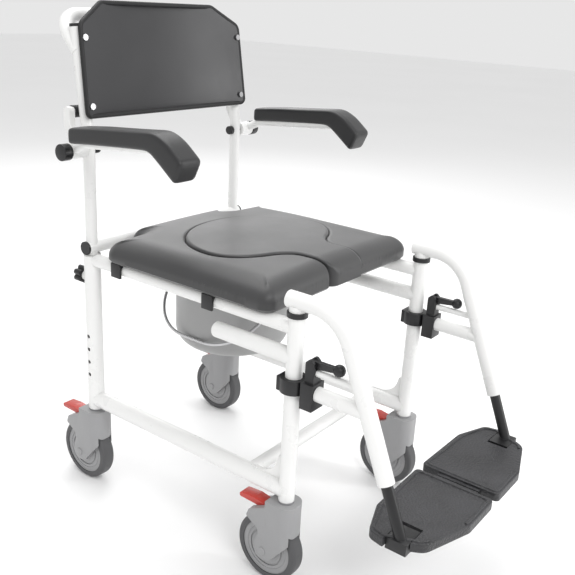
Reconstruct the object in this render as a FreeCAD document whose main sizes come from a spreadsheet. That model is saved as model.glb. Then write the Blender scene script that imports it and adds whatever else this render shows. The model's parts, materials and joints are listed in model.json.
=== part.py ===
import FreeCAD, Part
import math
import os
import Sketcher
from types import SimpleNamespace
from FreeCAD import Placement, Rotation, Vector

# Wheeled commode chair with a padded open-front seat, a lid, a slide-out pan, swing-up arms,
# swing-away footrests and four braked casters.
# Millimetres. +Z is up, the front is at -Y and the occupant's left hand is at +X.
# The origin is on the floor, under the middle of the overall box.
# Each sub-part is modelled on the left (+X) and mirrored to the right where the chair has a pair.

# ---------------------------------------------------------------------------------------------
# Driving sizes
# ---------------------------------------------------------------------------------------------
SIZES = {
    # where the legs stand
    "rear_leg_y": 338.0,
    "wheelbase": 482.0,
    "leg_spacing": 402.0,
    "leg_foot_z": 168.0,
    # frame tubes
    "tube_wall": 2.0,
    "rear_leg_od": 32.0,
    "rear_leg_top_z": 488.0,
    "front_leg_od": 28.0,
    "front_leg_top_z": 500.0,
    "lower_rail_od": 32.0,
    "lower_rail_z": 187.0,
    "seat_rail_od": 25.0,
    "seat_rail_z": 480.0,
    "stub_rail_od": 28.0,
    "stub_rail_z": 430.0,
    "stub_rail_reach": 163.0,
    "stub_dome_depth": 8.0,
    "cross_tube_od": 25.0,
    "cross_tube_z": 190.0,
    "cross_tube_setback": 80.0,
    "gusset_thickness": 5.0,
    "gusset_length": 77.0,
    "gusset_height": 58.0,
    "gusset_curve_radius": 38.0,
    "height_hole_radius": 4.0,
    "height_hole_top_z": 325.0,
    "height_hole_pitch": 27.0,
    # clearances
    "moving_gap": 0.3,
    "bearing_gap": 0.05,
    # bushes
    "hinge_bush_flange_radius": 17.0,
    "hinge_bush_flange_height": 8.0,
    "hinge_bush_depth": 30.0,
    "hanger_pin_radius": 8.0,
    "cane_bush_flange": 3.0,
    "cane_bush_depth": 26.0,
    "cane_ring_z": 345.0,
    "cane_ring_height": 20.0,
    # back
    "cane_od": 22.0,
    "cane_foot_z": 335.0,
    "cane_bend_z": 700.0,
    "cane_bend_radius": 60.0,
    "cane_lean": 7.0,
    "cane_top_z": 897.0,
    "cane_cap_height": 5.0,
    "cane_cap_lip": 0.5,
    "back_tube_od": 25.4,
    "back_tube_overhang": 1.5,
    "back_tube_plug": 4.0,
    "push_bar_od": 25.0,
    "push_root_z": 855.0,
    "push_reach": 81.0,
    "push_tilt": 47.5,
    "push_corner_radius": 45.0,
    "backrest_bottom_z": 745.0,
    "backrest_shoulder_z": 900.0,
    "backrest_top_z": 938.0,
    "backrest_bottom_width": 430.0,
    "backrest_shoulder_width": 418.0,
    "backrest_top_width": 288.0,
    "backrest_dish": 28.0,
    "backrest_cane_gap": 1.4,
    "backrest_thickness": 6.0,
    "backrest_corner_radius": 8.0,
    "backrest_screw_low_z": 762.0,
    "backrest_screw_high_z": 878.0,
    "backrest_screw_radius": 3.0,
    "backrest_screw_head": 5.5,
    "backrest_head_stand": 1.8,
    "backrest_head_height": 3.0,
    # star knobs that clamp the canes
    "knob_z": 443.0,
    "knob_boss_radius": 9.5,
    "knob_boss_length": 5.0,
    "knob_stud_radius": 4.0,
    "knob_radius": 17.0,
    "knob_core_radius": 12.0,
    "knob_lobe_radius": 5.5,
    "knob_depth": 16.0,
    # arms
    "arm_pivot_z": 688.0,
    "arm_bolt_radius": 5.0,
    "arm_nut_radius": 9.0,
    "arm_nut_length": 10.0,
    "arm_sleeve_radius": 14.0,
    "arm_sleeve_length": 33.0,
    "arm_tube_od": 18.0,
    "arm_tube_offset": 35.0,
    "arm_bend_radius": 30.0,
    "arm_pad_offset": 47.0,
    "arm_pad_width": 50.0,
    "arm_pad_round": 8.0,
    "arm_knob_radius": 15.0,
    "arm_knob_length": 18.0,
    "arm_bracket_thickness": 12.0,
    "arm_bumper_radius": 11.0,
    "arm_bumper_z": 752.0,
    # seat and lid
    "seat_bottom_z": 494.0,
    "seat_top_z": 540.0,
    "seat_width": 444.0,
    "seat_front_setback": 41.0,
    "seat_wing_setback": 56.0,
    "seat_tail_setback": 19.0,
    "seat_tail_width": 250.0,
    "seat_corner_radius": 24.0,
    "seat_notch_radius": 17.0,
    "seat_edge_round": 16.0,
    "lid_thickness": 26.0,
    "lid_width": 316.0,
    "lid_middle_setback": 253.0,
    "lid_rear_reach": 130.0,
    "lid_front_reach": 100.0,
    "lid_neck_width": 96.0,
    "lid_gap": 2.5,
    "aperture_radius": 92.0,
    "aperture_setback": 221.0,
    "clip_length": 24.0,
    "clip_width": 36.0,
    "clip_bottom_z": 467.0,
    "rear_clip_setback": 84.0,
    "front_clip_setback": 308.0,
    # pan, bail and runners
    "pan_setback": 181.0,
    "pan_radius": 113.0,
    "pan_wall": 2.5,
    "pan_rim_radius": 131.0,
    "pan_rim_height": 4.0,
    "pan_bottom_z": 308.0,
    "pan_bottom_round": 36.0,
    "runner_inner_x": 121.0,
    "runner_web_x": 136.0,
    "runner_web": 3.0,
    "runner_flange": 3.5,
    "runner_bottom_z": 460.0,
    "runner_top_z": 482.0,
    "runner_front_reach": 140.0,
    "runner_rear_setback": 30.0,
    "runner_arm_width": 20.0,
    "runner_arm_height": 6.0,
    "runner_arm_offset": 70.0,
    "bail_wire_radius": 3.0,
    "bail_depth": 163.0,
    "bail_corner_radius": 100.0,
    "bail_lean": 46.0,
    "bail_pivot_drop": 6.0,
    "bail_ear_depth": 7.5,
    "bail_ear_width": 12.0,
    # hangers
    "hanger_od": 28.0,
    "hanger_z": 525.0,
    "hanger_rear_reach": 17.0,
    "hanger_corner_reach": 81.0,
    "hanger_bend_radius": 75.0,
    "hanger_angle": 22.5,
    "hanger_foot_z": 278.0,
    "hanger_sleeve_length": 60.0,
    "brace_od": 25.0,
    "brace_z": 382.0,
    "strut_od": 11.0,
    "strut_z": 417.0,
    "bracket_bottom_z": 372.0,
    "bracket_height": 25.0,
    "bracket_radius": 22.5,
    "housing_gap": 2.0,
    "housing_depth": 23.5,
    "housing_width": 32.0,
    "housing_bottom_z": 355.0,
    "housing_top_z": 400.0,
    "post_width": 20.0,
    "post_depth": 17.0,
    "post_top_z": 442.0,
    "lever_pivot_z": 431.0,
    "lever_pin_radius": 3.0,
    "lever_width": 8.0,
    "lever_reach": 48.0,
    "lever_ball_radius": 10.0,
    # footrests
    "stem_radius": 9.5,
    "stem_top_z": 360.0,
    "plate_hinge_x": 176.0,
    "plate_hinge_z": 190.0,
    "plate_bottom_z": 183.0,
    "plate_top_z": 198.0,
    "plate_hinge_radius": 4.0,
    "plate_notch_reach": 14.0,
    "plate_corner_radius": 9.0,
    "block_inner_reach": 7.0,
    "block_outer_x": 214.0,
    "block_bottom_z": 178.0,
    "block_half_depth": 18.0,
    "hinge_pin_reach": 12.0,
    # casters
    "wheel_diameter": 125.0,
    "tyre_width": 28.0,
    "hub_radius": 50.0,
    "hub_width": 24.0,
    "hub_groove_radius": 33.0,
    "hub_groove_width": 3.0,
    "hub_groove_depth": 2.0,
    "tyre_round": 6.0,
    "axle_radius": 6.0,
    "caster_trail": 28.0,
    "fork_width": 50.0,
    "fork_slot_width": 33.0,
    "fork_plan_radius": 20.0,
    "fork_slot_gap": 4.0,
    "fork_boss_radius": 17.0,
    "fork_top_z": 164.0,
    "kingpin_radius": 6.0,
    "kingpin_foot_z": 130.0,
    "stem_plug_top_z": 205.0,
    "pedal_width": 24.0,
    "pedal_side_gap": 0.5,
    "pedal_pin_radius": 3.0,
    "pedal_pivot_y": 42.0,
    "pedal_pivot_z": 138.0,
}


class Size:
    """A size that carries its number and the sheet expression that gives it."""

    def __init__(self, value, text):
        self.value = value
        self.text = text

    def __add__(self, other):
        return joined(self, "+", other, number(self) + number(other))

    def __radd__(self, other):
        return joined(other, "+", self, number(other) + number(self))

    def __sub__(self, other):
        return joined(self, "-", other, number(self) - number(other))

    def __rsub__(self, other):
        return joined(other, "-", self, number(other) - number(self))

    def __mul__(self, other):
        return joined(self, "*", other, number(self) * number(other))

    def __rmul__(self, other):
        return joined(other, "*", self, number(other) * number(self))

    def __truediv__(self, other):
        return joined(self, "/", other, number(self) / number(other))

    def __rtruediv__(self, other):
        return joined(other, "/", self, number(other) / number(self))

    def __neg__(self):
        return 0 - self


def number(size):
    return size.value if isinstance(size, Size) else size


def wording(size):
    return size.text if isinstance(size, Size) else "(%.6g)" % size


def joined(left, sign, right, value):
    return Size(value, "(%s %s %s)" % (wording(left), sign, wording(right)))


def sine(angle):
    return Size(math.sin(math.radians(angle.value)), "sin(%s)" % angle.text)


def cosine(angle):
    return Size(math.cos(math.radians(angle.value)), "cos(%s)" % angle.text)


def tangent(angle):
    return Size(math.tan(math.radians(angle.value)), "tan(%s)" % angle.text)


doc = FreeCAD.newDocument("commode_chair")


def make_sheet():
    """Put every driving size in the sheet and return them by name."""
    sheet = doc.addObject("Spreadsheet::Sheet", "sizes")
    named = {}
    for row, (alias, value) in enumerate(SIZES.items(), start=1):
        sheet.set("A%d" % row, alias.replace("_", " "))
        sheet.set("B%d" % row, "%g" % value)
        sheet.setAlias("B%d" % row, alias)
        named[alias] = Size(value, "sizes.%s" % alias)
    doc.recompute()
    return SimpleNamespace(**named)


S = make_sheet()
X_AXIS = Vector(1, 0, 0)
Y_AXIS = Vector(0, 1, 0)
Z_AXIS = Vector(0, 0, 1)
LIFT = 60.0          # how far a cutter runs past the piece that it cuts
subparts = []

# ---------------------------------------------------------------------------------------------
# Helpers that make bound objects
# ---------------------------------------------------------------------------------------------


def bind(item, prop, size):
    """Give a property its size and tie it to the sheet."""
    setattr(item, prop, number(size))
    if isinstance(size, Size):
        item.setExpression(prop, size.text)


def place(item, x=0.0, y=0.0, z=0.0, axis=Z_AXIS, angle=0.0):
    """Put an item at x, y, z, turned about an axis through its own origin."""
    base = Vector(number(x), number(y), number(z))
    item.Placement = Placement(base, Rotation(axis, number(angle)))
    for letter, size in (("x", x), ("y", y), ("z", z)):
        if isinstance(size, Size):
            item.setExpression("Placement.Base." + letter, size.text)
    if isinstance(angle, Size):
        item.setExpression("Placement.Rotation.Angle", angle.text)
    return item


def rod(name, radius, length, x=0.0, y=0.0, z=0.0, along="Z"):
    """Solid cylinder that starts at x, y, z and runs along a positive axis."""
    item = doc.addObject("Part::Cylinder", name)
    bind(item, "Radius", radius)
    bind(item, "Height", length)
    turns = {"Z": (Z_AXIS, 0.0), "X": (Y_AXIS, 90.0), "Y": (X_AXIS, -90.0)}
    axis, angle = turns[along]
    return place(item, x, y, z, axis, angle)


def leaning_rod(name, radius, length, x, y, z, lean):
    """Cylinder whose axis leans from upright towards the rear."""
    item = doc.addObject("Part::Cylinder", name)
    bind(item, "Radius", radius)
    bind(item, "Height", length)
    return place(item, x, y, z, -X_AXIS, lean)


def ball(name, radius, x, y, z):
    item = doc.addObject("Part::Sphere", name)
    bind(item, "Radius", radius)
    return place(item, x, y, z)


def block(name, low, high):
    """Box from its lowest to its highest corner."""
    item = doc.addObject("Part::Box", name)
    for prop, start, end in zip(("Length", "Width", "Height"), low, high):
        bind(item, prop, end - start)
    return place(item, *low)


def cut(name, base, *tools):
    for index, tool in enumerate(tools):
        item = doc.addObject("Part::Cut", "%s_cut_%d" % (name, index))
        item.Base = base
        item.Tool = tool
        base = item
    return base


def fuse(name, *pieces):
    item = doc.addObject("Part::MultiFuse", name)
    item.Shapes = list(pieces)
    return item


def common(name, *pieces):
    item = doc.addObject("Part::MultiCommon", name)
    item.Shapes = list(pieces)
    return item


def group(name, *pieces):
    """Separate solids kept in one object."""
    item = doc.addObject("Part::Compound", name)
    item.Links = list(pieces)
    return item


def mirrored(name, item):
    """The same piece on the other side of the chair."""
    copy = doc.addObject("Part::Mirroring", name)
    copy.Source = item
    copy.Base = Vector(0, 0, 0)
    copy.Normal = X_AXIS
    return copy


def label(name, item):
    """Name a finished sub-part; the name is also its file's name."""
    item.Label = name
    subparts.append(item)
    return item


def pair(name, item):
    """One sub-part that holds the left piece and the right piece."""
    return label(name, group(name, item, mirrored(name + "_twin", item)))


def left_and_right(name, item):
    """Two sub-parts, one for each side."""
    label(name + "_left", item)
    label(name + "_right", mirrored(name + "_right", item))


# ---------------------------------------------------------------------------------------------
# Helpers for sketches and the features made from them
# ---------------------------------------------------------------------------------------------


def new_body(name, x=0.0, y=0.0, z=0.0, axis=Z_AXIS, angle=0.0):
    body = doc.addObject("PartDesign::Body", name)
    return place(body, x, y, z, axis, angle)


def new_sketch(body, name, plane):
    """Sketch on one of the body's own origin planes."""
    sketch = body.newObject("Sketcher::SketchObject", name)
    support = next(f for f in body.Origin.OriginFeatures if f.Role == plane)
    sketch.AttachmentSupport = [(support, "")]
    sketch.MapMode = "FlatFace"
    return sketch


def held(geometry, position, point):
    """Rules that hold a sketch point at its two sizes from the sketch's origin."""
    rules = []
    for kind, axis, size in (("DistanceX", -2, point[0]), ("DistanceY", -1, point[1])):
        if isinstance(size, Size) or abs(size) > 1e-9:
            rule = Sketcher.Constraint(kind, -1, 1, geometry, position, number(size))
            rules.append((rule, size))
        else:
            rules.append((Sketcher.Constraint("PointOnObject", geometry, position, axis), None))
    return rules


def settle(sketch, rules):
    """Add all the rules at once, because a sketch that is held only in part can drift."""
    added = sketch.addConstraint([rule for rule, size in rules])
    for index, (rule, size) in zip(added, rules):
        if isinstance(size, Size):
            sketch.setExpression("Constraints[%d]" % index, size.text)


def flat(point):
    return Vector(number(point[0]), number(point[1]), 0)


def corner_arc(before, corner, after, radius):
    """The arc that rounds a corner, where it starts and ends, and whether it turns left."""
    towards_before = (before - corner).normalize()
    towards_after = (after - corner).normalize()
    half_angle = towards_before.getAngle(towards_after) / 2
    reach = radius / math.tan(half_angle)
    start = corner + towards_before * reach
    end = corner + towards_after * reach
    bisector = (towards_before + towards_after).normalize()
    centre = corner + bisector * (radius / math.sin(half_angle))
    left_turn = towards_after.cross(towards_before).z > 0
    first, last = (start, end) if left_turn else (end, start)
    low = math.atan2(first.y - centre.y, first.x - centre.x)
    high = math.atan2(last.y - centre.y, last.x - centre.x)
    if high < low:
        high += 2 * math.pi
    arc = Part.ArcOfCircle(Part.Circle(centre, Z_AXIS, radius), low, high)
    return SimpleNamespace(arc=arc, start=start, end=end, left_turn=left_turn)


def draw_path(sketch, points, closed):
    """Draw straight runs with rounded corners. A point is (across, up) or (across, up, radius)."""
    count = len(points)
    runs = count if closed else count - 1
    starts = [flat(p) for p in points]
    ends = [flat(p) for p in points]
    arcs = {}
    for index, point in enumerate(points):
        if len(point) == 3:
            before = flat(points[index - 1])
            after = flat(points[(index + 1) % count])
            arcs[index] = corner_arc(before, flat(point), after, number(point[2]))
            ends[index], starts[index] = arcs[index].start, arcs[index].end
    lines = []
    for index in range(runs):
        segment = Part.LineSegment(starts[index], ends[(index + 1) % count])
        lines.append(sketch.addGeometry(segment, False))
    rules = []
    for index, point in enumerate(points):
        incoming = lines[index - 1] if (index or closed) else None
        outgoing = lines[index] if index < runs else None
        if index in arcs:
            rules += round_corner(sketch, point, arcs[index], incoming, outgoing)
        elif outgoing is None:
            rules += held(incoming, 2, point)
        else:
            rules += held(outgoing, 1, point)
            if incoming is not None:
                rules.append((Sketcher.Constraint("Coincident", incoming, 2, outgoing, 1), None))
    settle(sketch, rules)


def round_corner(sketch, point, rounding, incoming, outgoing):
    """Join two runs with a tangent arc whose sharp corner stays at its point."""
    arc = sketch.addGeometry(rounding.arc, False)
    corner = sketch.addGeometry(Part.Point(flat(point)), True)
    first, last = (1, 2) if rounding.left_turn else (2, 1)
    rules = [(Sketcher.Constraint("Tangent", incoming, 2, arc, first), None),
             (Sketcher.Constraint("Tangent", arc, last, outgoing, 1), None),
             (Sketcher.Constraint("Radius", arc, number(point[2])), point[2]),
             (Sketcher.Constraint("PointOnObject", corner, 1, incoming), None),
             (Sketcher.Constraint("PointOnObject", corner, 1, outgoing), None)]
    return rules + held(corner, 1, point)


def draw_circle(sketch, centre, radius):
    circle = sketch.addGeometry(Part.Circle(flat(centre), Z_AXIS, number(radius)), False)
    rule = Sketcher.Constraint("Radius", circle, number(radius))
    settle(sketch, [(rule, radius)] + held(circle, 3, centre))


def slab(name, plane, points, thickness, x=0.0, y=0.0, z=0.0, axis=Z_AXIS, angle=0.0):
    """Plate with a drawn outline, as thick on both sides of its plane."""
    body = new_body(name, x, y, z, axis, angle)
    sketch = new_sketch(body, name + "_outline", plane)
    draw_path(sketch, points, True)
    pad = body.newObject("PartDesign::Pad", name + "_pad")
    pad.Profile = sketch
    pad.SideType = "Symmetric"
    bind(pad, "Length", thickness)
    return body


def lathe(name, plane, points, turn_axis, x=0.0, y=0.0, z=0.0):
    """Solid turned from a drawn section about the sketch's H_Axis or V_Axis."""
    body = new_body(name, x, y, z)
    sketch = new_sketch(body, name + "_section", plane)
    draw_path(sketch, points, True)
    turned = body.newObject("PartDesign::Revolution", name + "_turned")
    turned.Profile = sketch
    turned.ReferenceAxis = (sketch, [turn_axis])
    turned.Angle = 360.0
    return body


def bent_bar(name, plane, section_plane, points, radii, x=0.0, y=0.0, z=0.0, axis=Z_AXIS, angle=0.0):
    """Bar or tube along a drawn path; the section is one or two circles at its first point."""
    body = new_body(name, x, y, z, axis, angle)
    spine = new_sketch(body, name + "_path", plane)
    draw_path(spine, points, False)
    section = new_sketch(body, name + "_section", section_plane)
    start = points[0]
    places = {("YZ_Plane", "XY_Plane"): ((0.0, start[0]), start[1], "z"),
              ("YZ_Plane", "XZ_Plane"): ((0.0, start[1]), start[0], "y"),
              ("XY_Plane", "XZ_Plane"): ((start[0], 0.0), start[1], "y")}
    centre, depth, letter = places[(plane, section_plane)]
    offset = depth if letter == "z" else -depth
    section.AttachmentOffset = Placement(Vector(0, 0, number(offset)), Rotation())
    if isinstance(offset, Size):
        section.setExpression("AttachmentOffset.Base.z", offset.text)
    for radius in radii:
        draw_circle(section, centre, radius)
    pipe = body.newObject("PartDesign::AdditivePipe", name + "_pipe")
    pipe.Profile = section
    pipe.Spine = (spine, [])
    return body


def round_edges(body, name, radius, wanted):
    """Fillet the edges of the body's last feature that the test accepts."""
    doc.recompute()
    base = body.Tip
    chosen = []
    for index, edge in enumerate(base.Shape.Edges, start=1):
        if wanted(edge):
            chosen.append("Edge%d" % index)
    fillet = body.newObject("PartDesign::Fillet", name)
    fillet.Base = (base, chosen)
    bind(fillet, "Radius", radius)
    return body


def level_edge(height):
    """Test for edges that lie level at a height in the body's own frame."""
    def test(edge):
        low, high = edge.BoundBox.ZMin, edge.BoundBox.ZMax
        return abs(low - height) < 0.01 and abs(high - height) < 0.01
    return test


# ---------------------------------------------------------------------------------------------
# Places that several pieces share
# ---------------------------------------------------------------------------------------------
side_x = S.leg_spacing / 2
rear_y = S.rear_leg_y
front_y = S.rear_leg_y - S.wheelbase
cane_radius = S.cane_od / 2
hanger_radius = S.hanger_od / 2
pan_y = rear_y - S.pan_setback
pan_rim_bottom_z = S.runner_bottom_z + S.runner_flange + S.moving_gap
wheel_radius = S.wheel_diameter / 2


def cane_y(height):
    """Y of the leaning part of a cane's axis at a height."""
    return rear_y + (height - S.cane_bend_z) * tangent(S.cane_lean)


def hanger_y(height):
    """Y of the sloping part of a footrest hanger's axis at a height."""
    return front_y - S.hanger_corner_reach - (S.hanger_z - height) * tangent(S.hanger_angle)


def tube(name, diameter, length, x, y, z, along):
    """Straight round tube with the frame's wall."""
    outside = rod(name + "_outside", diameter / 2, length, x, y, z, along)
    inside = rod(name + "_inside", diameter / 2 - S.tube_wall, length, x, y, z, along)
    return cut(name, outside, inside)


def leg_core(name, y, diameter):
    """Solid rod as thick as a leg, for shaping what meets it."""
    return rod(name, diameter / 2, S.front_leg_top_z + LIFT, side_x, y, 0.0)


# ---------------------------------------------------------------------------------------------
# Welded frame
# ---------------------------------------------------------------------------------------------


def rear_legs():
    length = S.rear_leg_top_z - S.leg_foot_z
    outside = rod("rear_leg_outside", S.rear_leg_od / 2, length, side_x, rear_y, S.leg_foot_z)
    boss = rod("rear_leg_boss", S.knob_boss_radius, S.rear_leg_od / 2 + S.knob_boss_length,
               side_x, rear_y, S.knob_z, "Y")
    bore = rod("rear_leg_bore", S.rear_leg_od / 2 - S.tube_wall, length,
               side_x, rear_y, S.leg_foot_z)
    stud_hole = rod("rear_leg_stud_hole", S.knob_stud_radius + S.bearing_gap, S.rear_leg_od,
                    side_x, rear_y, S.knob_z, "Y")
    tools = [bore, stud_hole]
    for index in range(4):
        height = S.height_hole_top_z - S.height_hole_pitch * index
        tools.append(rod("rear_leg_hole_%d" % index, S.height_hole_radius, S.rear_leg_od,
                         side_x, rear_y, height, "X"))
    pair("rear_legs", cut("rear_leg", fuse("rear_leg_solid", outside, boss), *tools))


def front_legs():
    pair("front_legs", tube("front_leg", S.front_leg_od, S.front_leg_top_z - S.leg_foot_z,
                            side_x, front_y, S.leg_foot_z, "Z"))


def side_rail(name, diameter, height):
    """Tube between the legs of one side, shaped to fit round them."""
    bar = tube(name, diameter, S.wheelbase, side_x, front_y, height, "Y")
    return cut(name + "_fitted", bar, leg_core(name + "_front_leg", front_y, S.front_leg_od),
               leg_core(name + "_rear_leg", rear_y, S.rear_leg_od))


def stub_rails():
    bar = tube("stub_rail", S.stub_rail_od, S.stub_rail_reach, side_x, front_y, S.stub_rail_z, "Y")
    dome = doc.addObject("Part::Ellipsoid", "stub_rail_dome")
    bind(dome, "Radius1", S.stub_rail_od / 2)
    bind(dome, "Radius2", S.stub_rail_od / 2)
    bind(dome, "Radius3", S.stub_dome_depth)
    place(dome, side_x, front_y + S.stub_rail_reach, S.stub_rail_z)
    core = leg_core("stub_rail_leg", front_y, S.front_leg_od)
    pair("stub_rails", cut("stub_rail_fitted", fuse("stub_rail_solid", bar, dome), core))


def front_cross_tube():
    y = front_y + S.cross_tube_setback
    bar = tube("cross_tube", S.cross_tube_od, S.leg_spacing, -side_x, y, S.cross_tube_z, "X")
    cores = []
    for name, x in (("left", side_x), ("right", -side_x)):
        cores.append(rod("cross_tube_rail_" + name, S.lower_rail_od / 2, S.wheelbase,
                         x, front_y, S.lower_rail_z, "Y"))
    label("front_cross_tube", cut("cross_tube_fitted", bar, *cores))


def leg_gussets():
    top = S.lower_rail_z + S.gusset_height
    heel = S.lower_rail_z + S.lower_rail_od / 2 + 1
    outline = [(front_y, top), (front_y + S.front_leg_od / 2 + 5, top),
               (front_y + S.gusset_length * 0.36, heel + 3, S.gusset_curve_radius),
               (front_y + S.gusset_length, heel), (front_y + S.gusset_length, S.lower_rail_z),
               (front_y, S.lower_rail_z)]
    plate = slab("gusset", "YZ_Plane", outline, S.gusset_thickness, side_x)
    rail = rod("gusset_rail", S.lower_rail_od / 2, S.wheelbase, side_x, front_y,
               S.lower_rail_z, "Y")
    pair("leg_gussets", cut("gusset_fitted", plate,
                            leg_core("gusset_leg", front_y, S.front_leg_od), rail))


def hinge_bushes():
    flange = rod("hinge_bush_flange", S.hinge_bush_flange_radius, S.hinge_bush_flange_height,
                 side_x, front_y, S.front_leg_top_z)
    plug = rod("hinge_bush_plug", S.front_leg_od / 2 - S.tube_wall, S.hinge_bush_depth,
               side_x, front_y, S.front_leg_top_z - S.hinge_bush_depth)
    bore = rod("hinge_bush_bore", S.hanger_pin_radius + S.bearing_gap,
               S.hinge_bush_depth + S.hinge_bush_flange_height,
               side_x, front_y, S.front_leg_top_z - S.hinge_bush_depth)
    pair("hinge_bushes", cut("hinge_bush", fuse("hinge_bush_solid", flange, plug), bore))


def cane_bushes():
    """A flanged bush in the top of each rear leg and a guide ring further down."""
    plug_radius = S.rear_leg_od / 2 - S.tube_wall
    low = S.rear_leg_top_z - S.cane_bush_depth
    plug = rod("cane_bush_plug", plug_radius, S.cane_bush_depth, side_x, rear_y, low)
    flange = rod("cane_bush_flange", S.rear_leg_od / 2, S.cane_bush_flange,
                 side_x, rear_y, S.rear_leg_top_z)
    bore = rod("cane_bush_bore", cane_radius + S.bearing_gap,
               S.cane_bush_depth + S.cane_bush_flange, side_x, rear_y, low)
    stud_hole = rod("cane_bush_stud_hole", S.knob_stud_radius + S.bearing_gap, S.rear_leg_od,
                    side_x, rear_y, S.knob_z, "Y")
    upper = cut("cane_bush_upper", fuse("cane_bush_solid", plug, flange), bore, stud_hole)
    ring = rod("cane_ring", plug_radius, S.cane_ring_height, side_x, rear_y, S.cane_ring_z)
    ring_bore = rod("cane_ring_bore", cane_radius + S.bearing_gap, S.cane_ring_height,
                    side_x, rear_y, S.cane_ring_z)
    lower = cut("cane_bush_lower", ring, ring_bore)
    pair("cane_bushes", group("cane_bush_set", upper, lower))


def pan_runners():
    """Angle rails that the pan's rim slides on, hung from the seat rails by two arms each."""
    front = pan_y - S.runner_front_reach
    rear = rear_y - S.runner_rear_setback
    web_end = S.runner_web_x + S.runner_web
    flange = block("runner_flange_bar", (S.runner_inner_x, front, S.runner_bottom_z),
                   (web_end, rear, S.runner_bottom_z + S.runner_flange))
    web = block("runner_web_bar", (S.runner_web_x, front, S.runner_bottom_z),
                (web_end, rear, S.runner_top_z))
    pieces = [flange, web]
    for name, y in (("rear", pan_y + S.runner_arm_offset), ("front", pan_y - S.runner_arm_offset)):
        pieces.append(block("runner_arm_" + name,
                            (web_end, y - S.runner_arm_width / 2,
                             S.runner_top_z - S.runner_arm_height),
                            (side_x, y + S.runner_arm_width / 2, S.runner_top_z)))
    rail = rod("runner_rail", S.seat_rail_od / 2, S.wheelbase, side_x, front_y,
               S.seat_rail_z, "Y")
    pair("pan_runners", cut("runner", fuse("runner_solid", *pieces), rail))


def latch_brackets():
    ring = rod("bracket_ring", S.bracket_radius, S.bracket_height, side_x, front_y,
               S.bracket_bottom_z)
    top = S.bracket_bottom_z + S.bracket_height
    heel = block("bracket_heel",
                 (side_x - S.housing_width / 2, front_y, S.bracket_bottom_z),
                 (side_x + S.housing_width / 2, front_y + S.bracket_radius, top))
    bolt = rod("bracket_bolt", S.bracket_height / 4, 4.0, side_x, front_y + S.bracket_radius,
               S.bracket_bottom_z + S.bracket_height / 2, "Y")
    pair("latch_brackets", cut("bracket", fuse("bracket_solid", ring, heel, bolt),
                               leg_core("bracket_leg", front_y, S.front_leg_od)))


def caster_stems():
    """Plug, collar and kingpin for each leg."""
    pieces = []
    for name, y, leg_od in (("rear", rear_y, S.rear_leg_od), ("front", front_y, S.front_leg_od)):
        plug = rod(name + "_stem_plug", leg_od / 2 - S.tube_wall,
                   S.stem_plug_top_z - S.leg_foot_z, side_x, y, S.leg_foot_z)
        collar_foot = S.fork_top_z + S.moving_gap
        collar = rod(name + "_stem_collar", leg_od / 2, S.leg_foot_z - collar_foot,
                     side_x, y, collar_foot)
        kingpin = rod(name + "_kingpin", S.kingpin_radius, S.leg_foot_z - S.kingpin_foot_z,
                      side_x, y, S.kingpin_foot_z)
        pieces.append(fuse(name + "_caster_stem", plug, collar, kingpin))
    pair("caster_stems", group("caster_stem_set", *pieces))


# ---------------------------------------------------------------------------------------------
# Back
# ---------------------------------------------------------------------------------------------


def cane(name, radii):
    path = [(rear_y, S.cane_foot_z), (rear_y, S.cane_bend_z, S.cane_bend_radius),
            (cane_y(S.cane_top_z), S.cane_top_z)]
    return bent_bar(name, "YZ_Plane", "XY_Plane", path, radii, side_x)


def screw_places():
    return (("low", S.backrest_screw_low_z), ("high", S.backrest_screw_high_z))


def screw_rod(name, radius, height, start, end):
    """Rod square to the leaning part of a cane, from start to end in front of its axis."""
    item = doc.addObject("Part::Cylinder", name)
    bind(item, "Radius", radius)
    bind(item, "Height", end - start)
    return place(item, side_x, cane_y(height) - start * cosine(S.cane_lean),
                 height + start * sine(S.cane_lean), X_AXIS, 90 - S.cane_lean)


def back_canes():
    outer = cane("cane", (cane_radius, cane_radius - S.tube_wall))
    holes = [rod("cane_pivot_hole", S.arm_bolt_radius + S.bearing_gap, S.cane_od * 2,
                 side_x - S.cane_od, rear_y, S.arm_pivot_z, "X")]
    for name, height in screw_places():
        holes.append(screw_rod("cane_screw_hole_" + name,
                               S.backrest_screw_radius + S.bearing_gap, height,
                               0.0, S.cane_od))
    pair("back_canes", cut("cane_drilled", outer, *holes))


def back_tube_z():
    """The cross tube rests just above the bushes when the back is right down."""
    return S.rear_leg_top_z + S.cane_bush_flange + S.moving_gap + S.back_tube_od / 2


def back_tube_end_x():
    return side_x + cane_radius + S.back_tube_overhang


def back_cross_tube():
    end = back_tube_end_x()
    bar = tube("back_tube", S.back_tube_od, end * 2, -end, rear_y, back_tube_z(), "X")
    cores = []
    for name, x in (("left", side_x), ("right", -side_x)):
        cores.append(rod("back_tube_cane_" + name, cane_radius, S.cane_bend_z - S.cane_foot_z,
                         x, rear_y, S.cane_foot_z))
    label("back_cross_tube", cut("back_tube_fitted", bar, *cores))


def tube_plugs():
    """End plugs of the back's cross tube and caps of the canes."""
    plug = rod("back_tube_end_plug", S.back_tube_od / 2, S.back_tube_plug, back_tube_end_x(),
               rear_y, back_tube_z(), "X")
    cap = leaning_rod("cane_cap", cane_radius + S.cane_cap_lip, S.cane_cap_height,
                      side_x, cane_y(S.cane_top_z), S.cane_top_z, S.cane_lean)
    pair("tube_plugs", group("plug_set", plug, cap))


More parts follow.
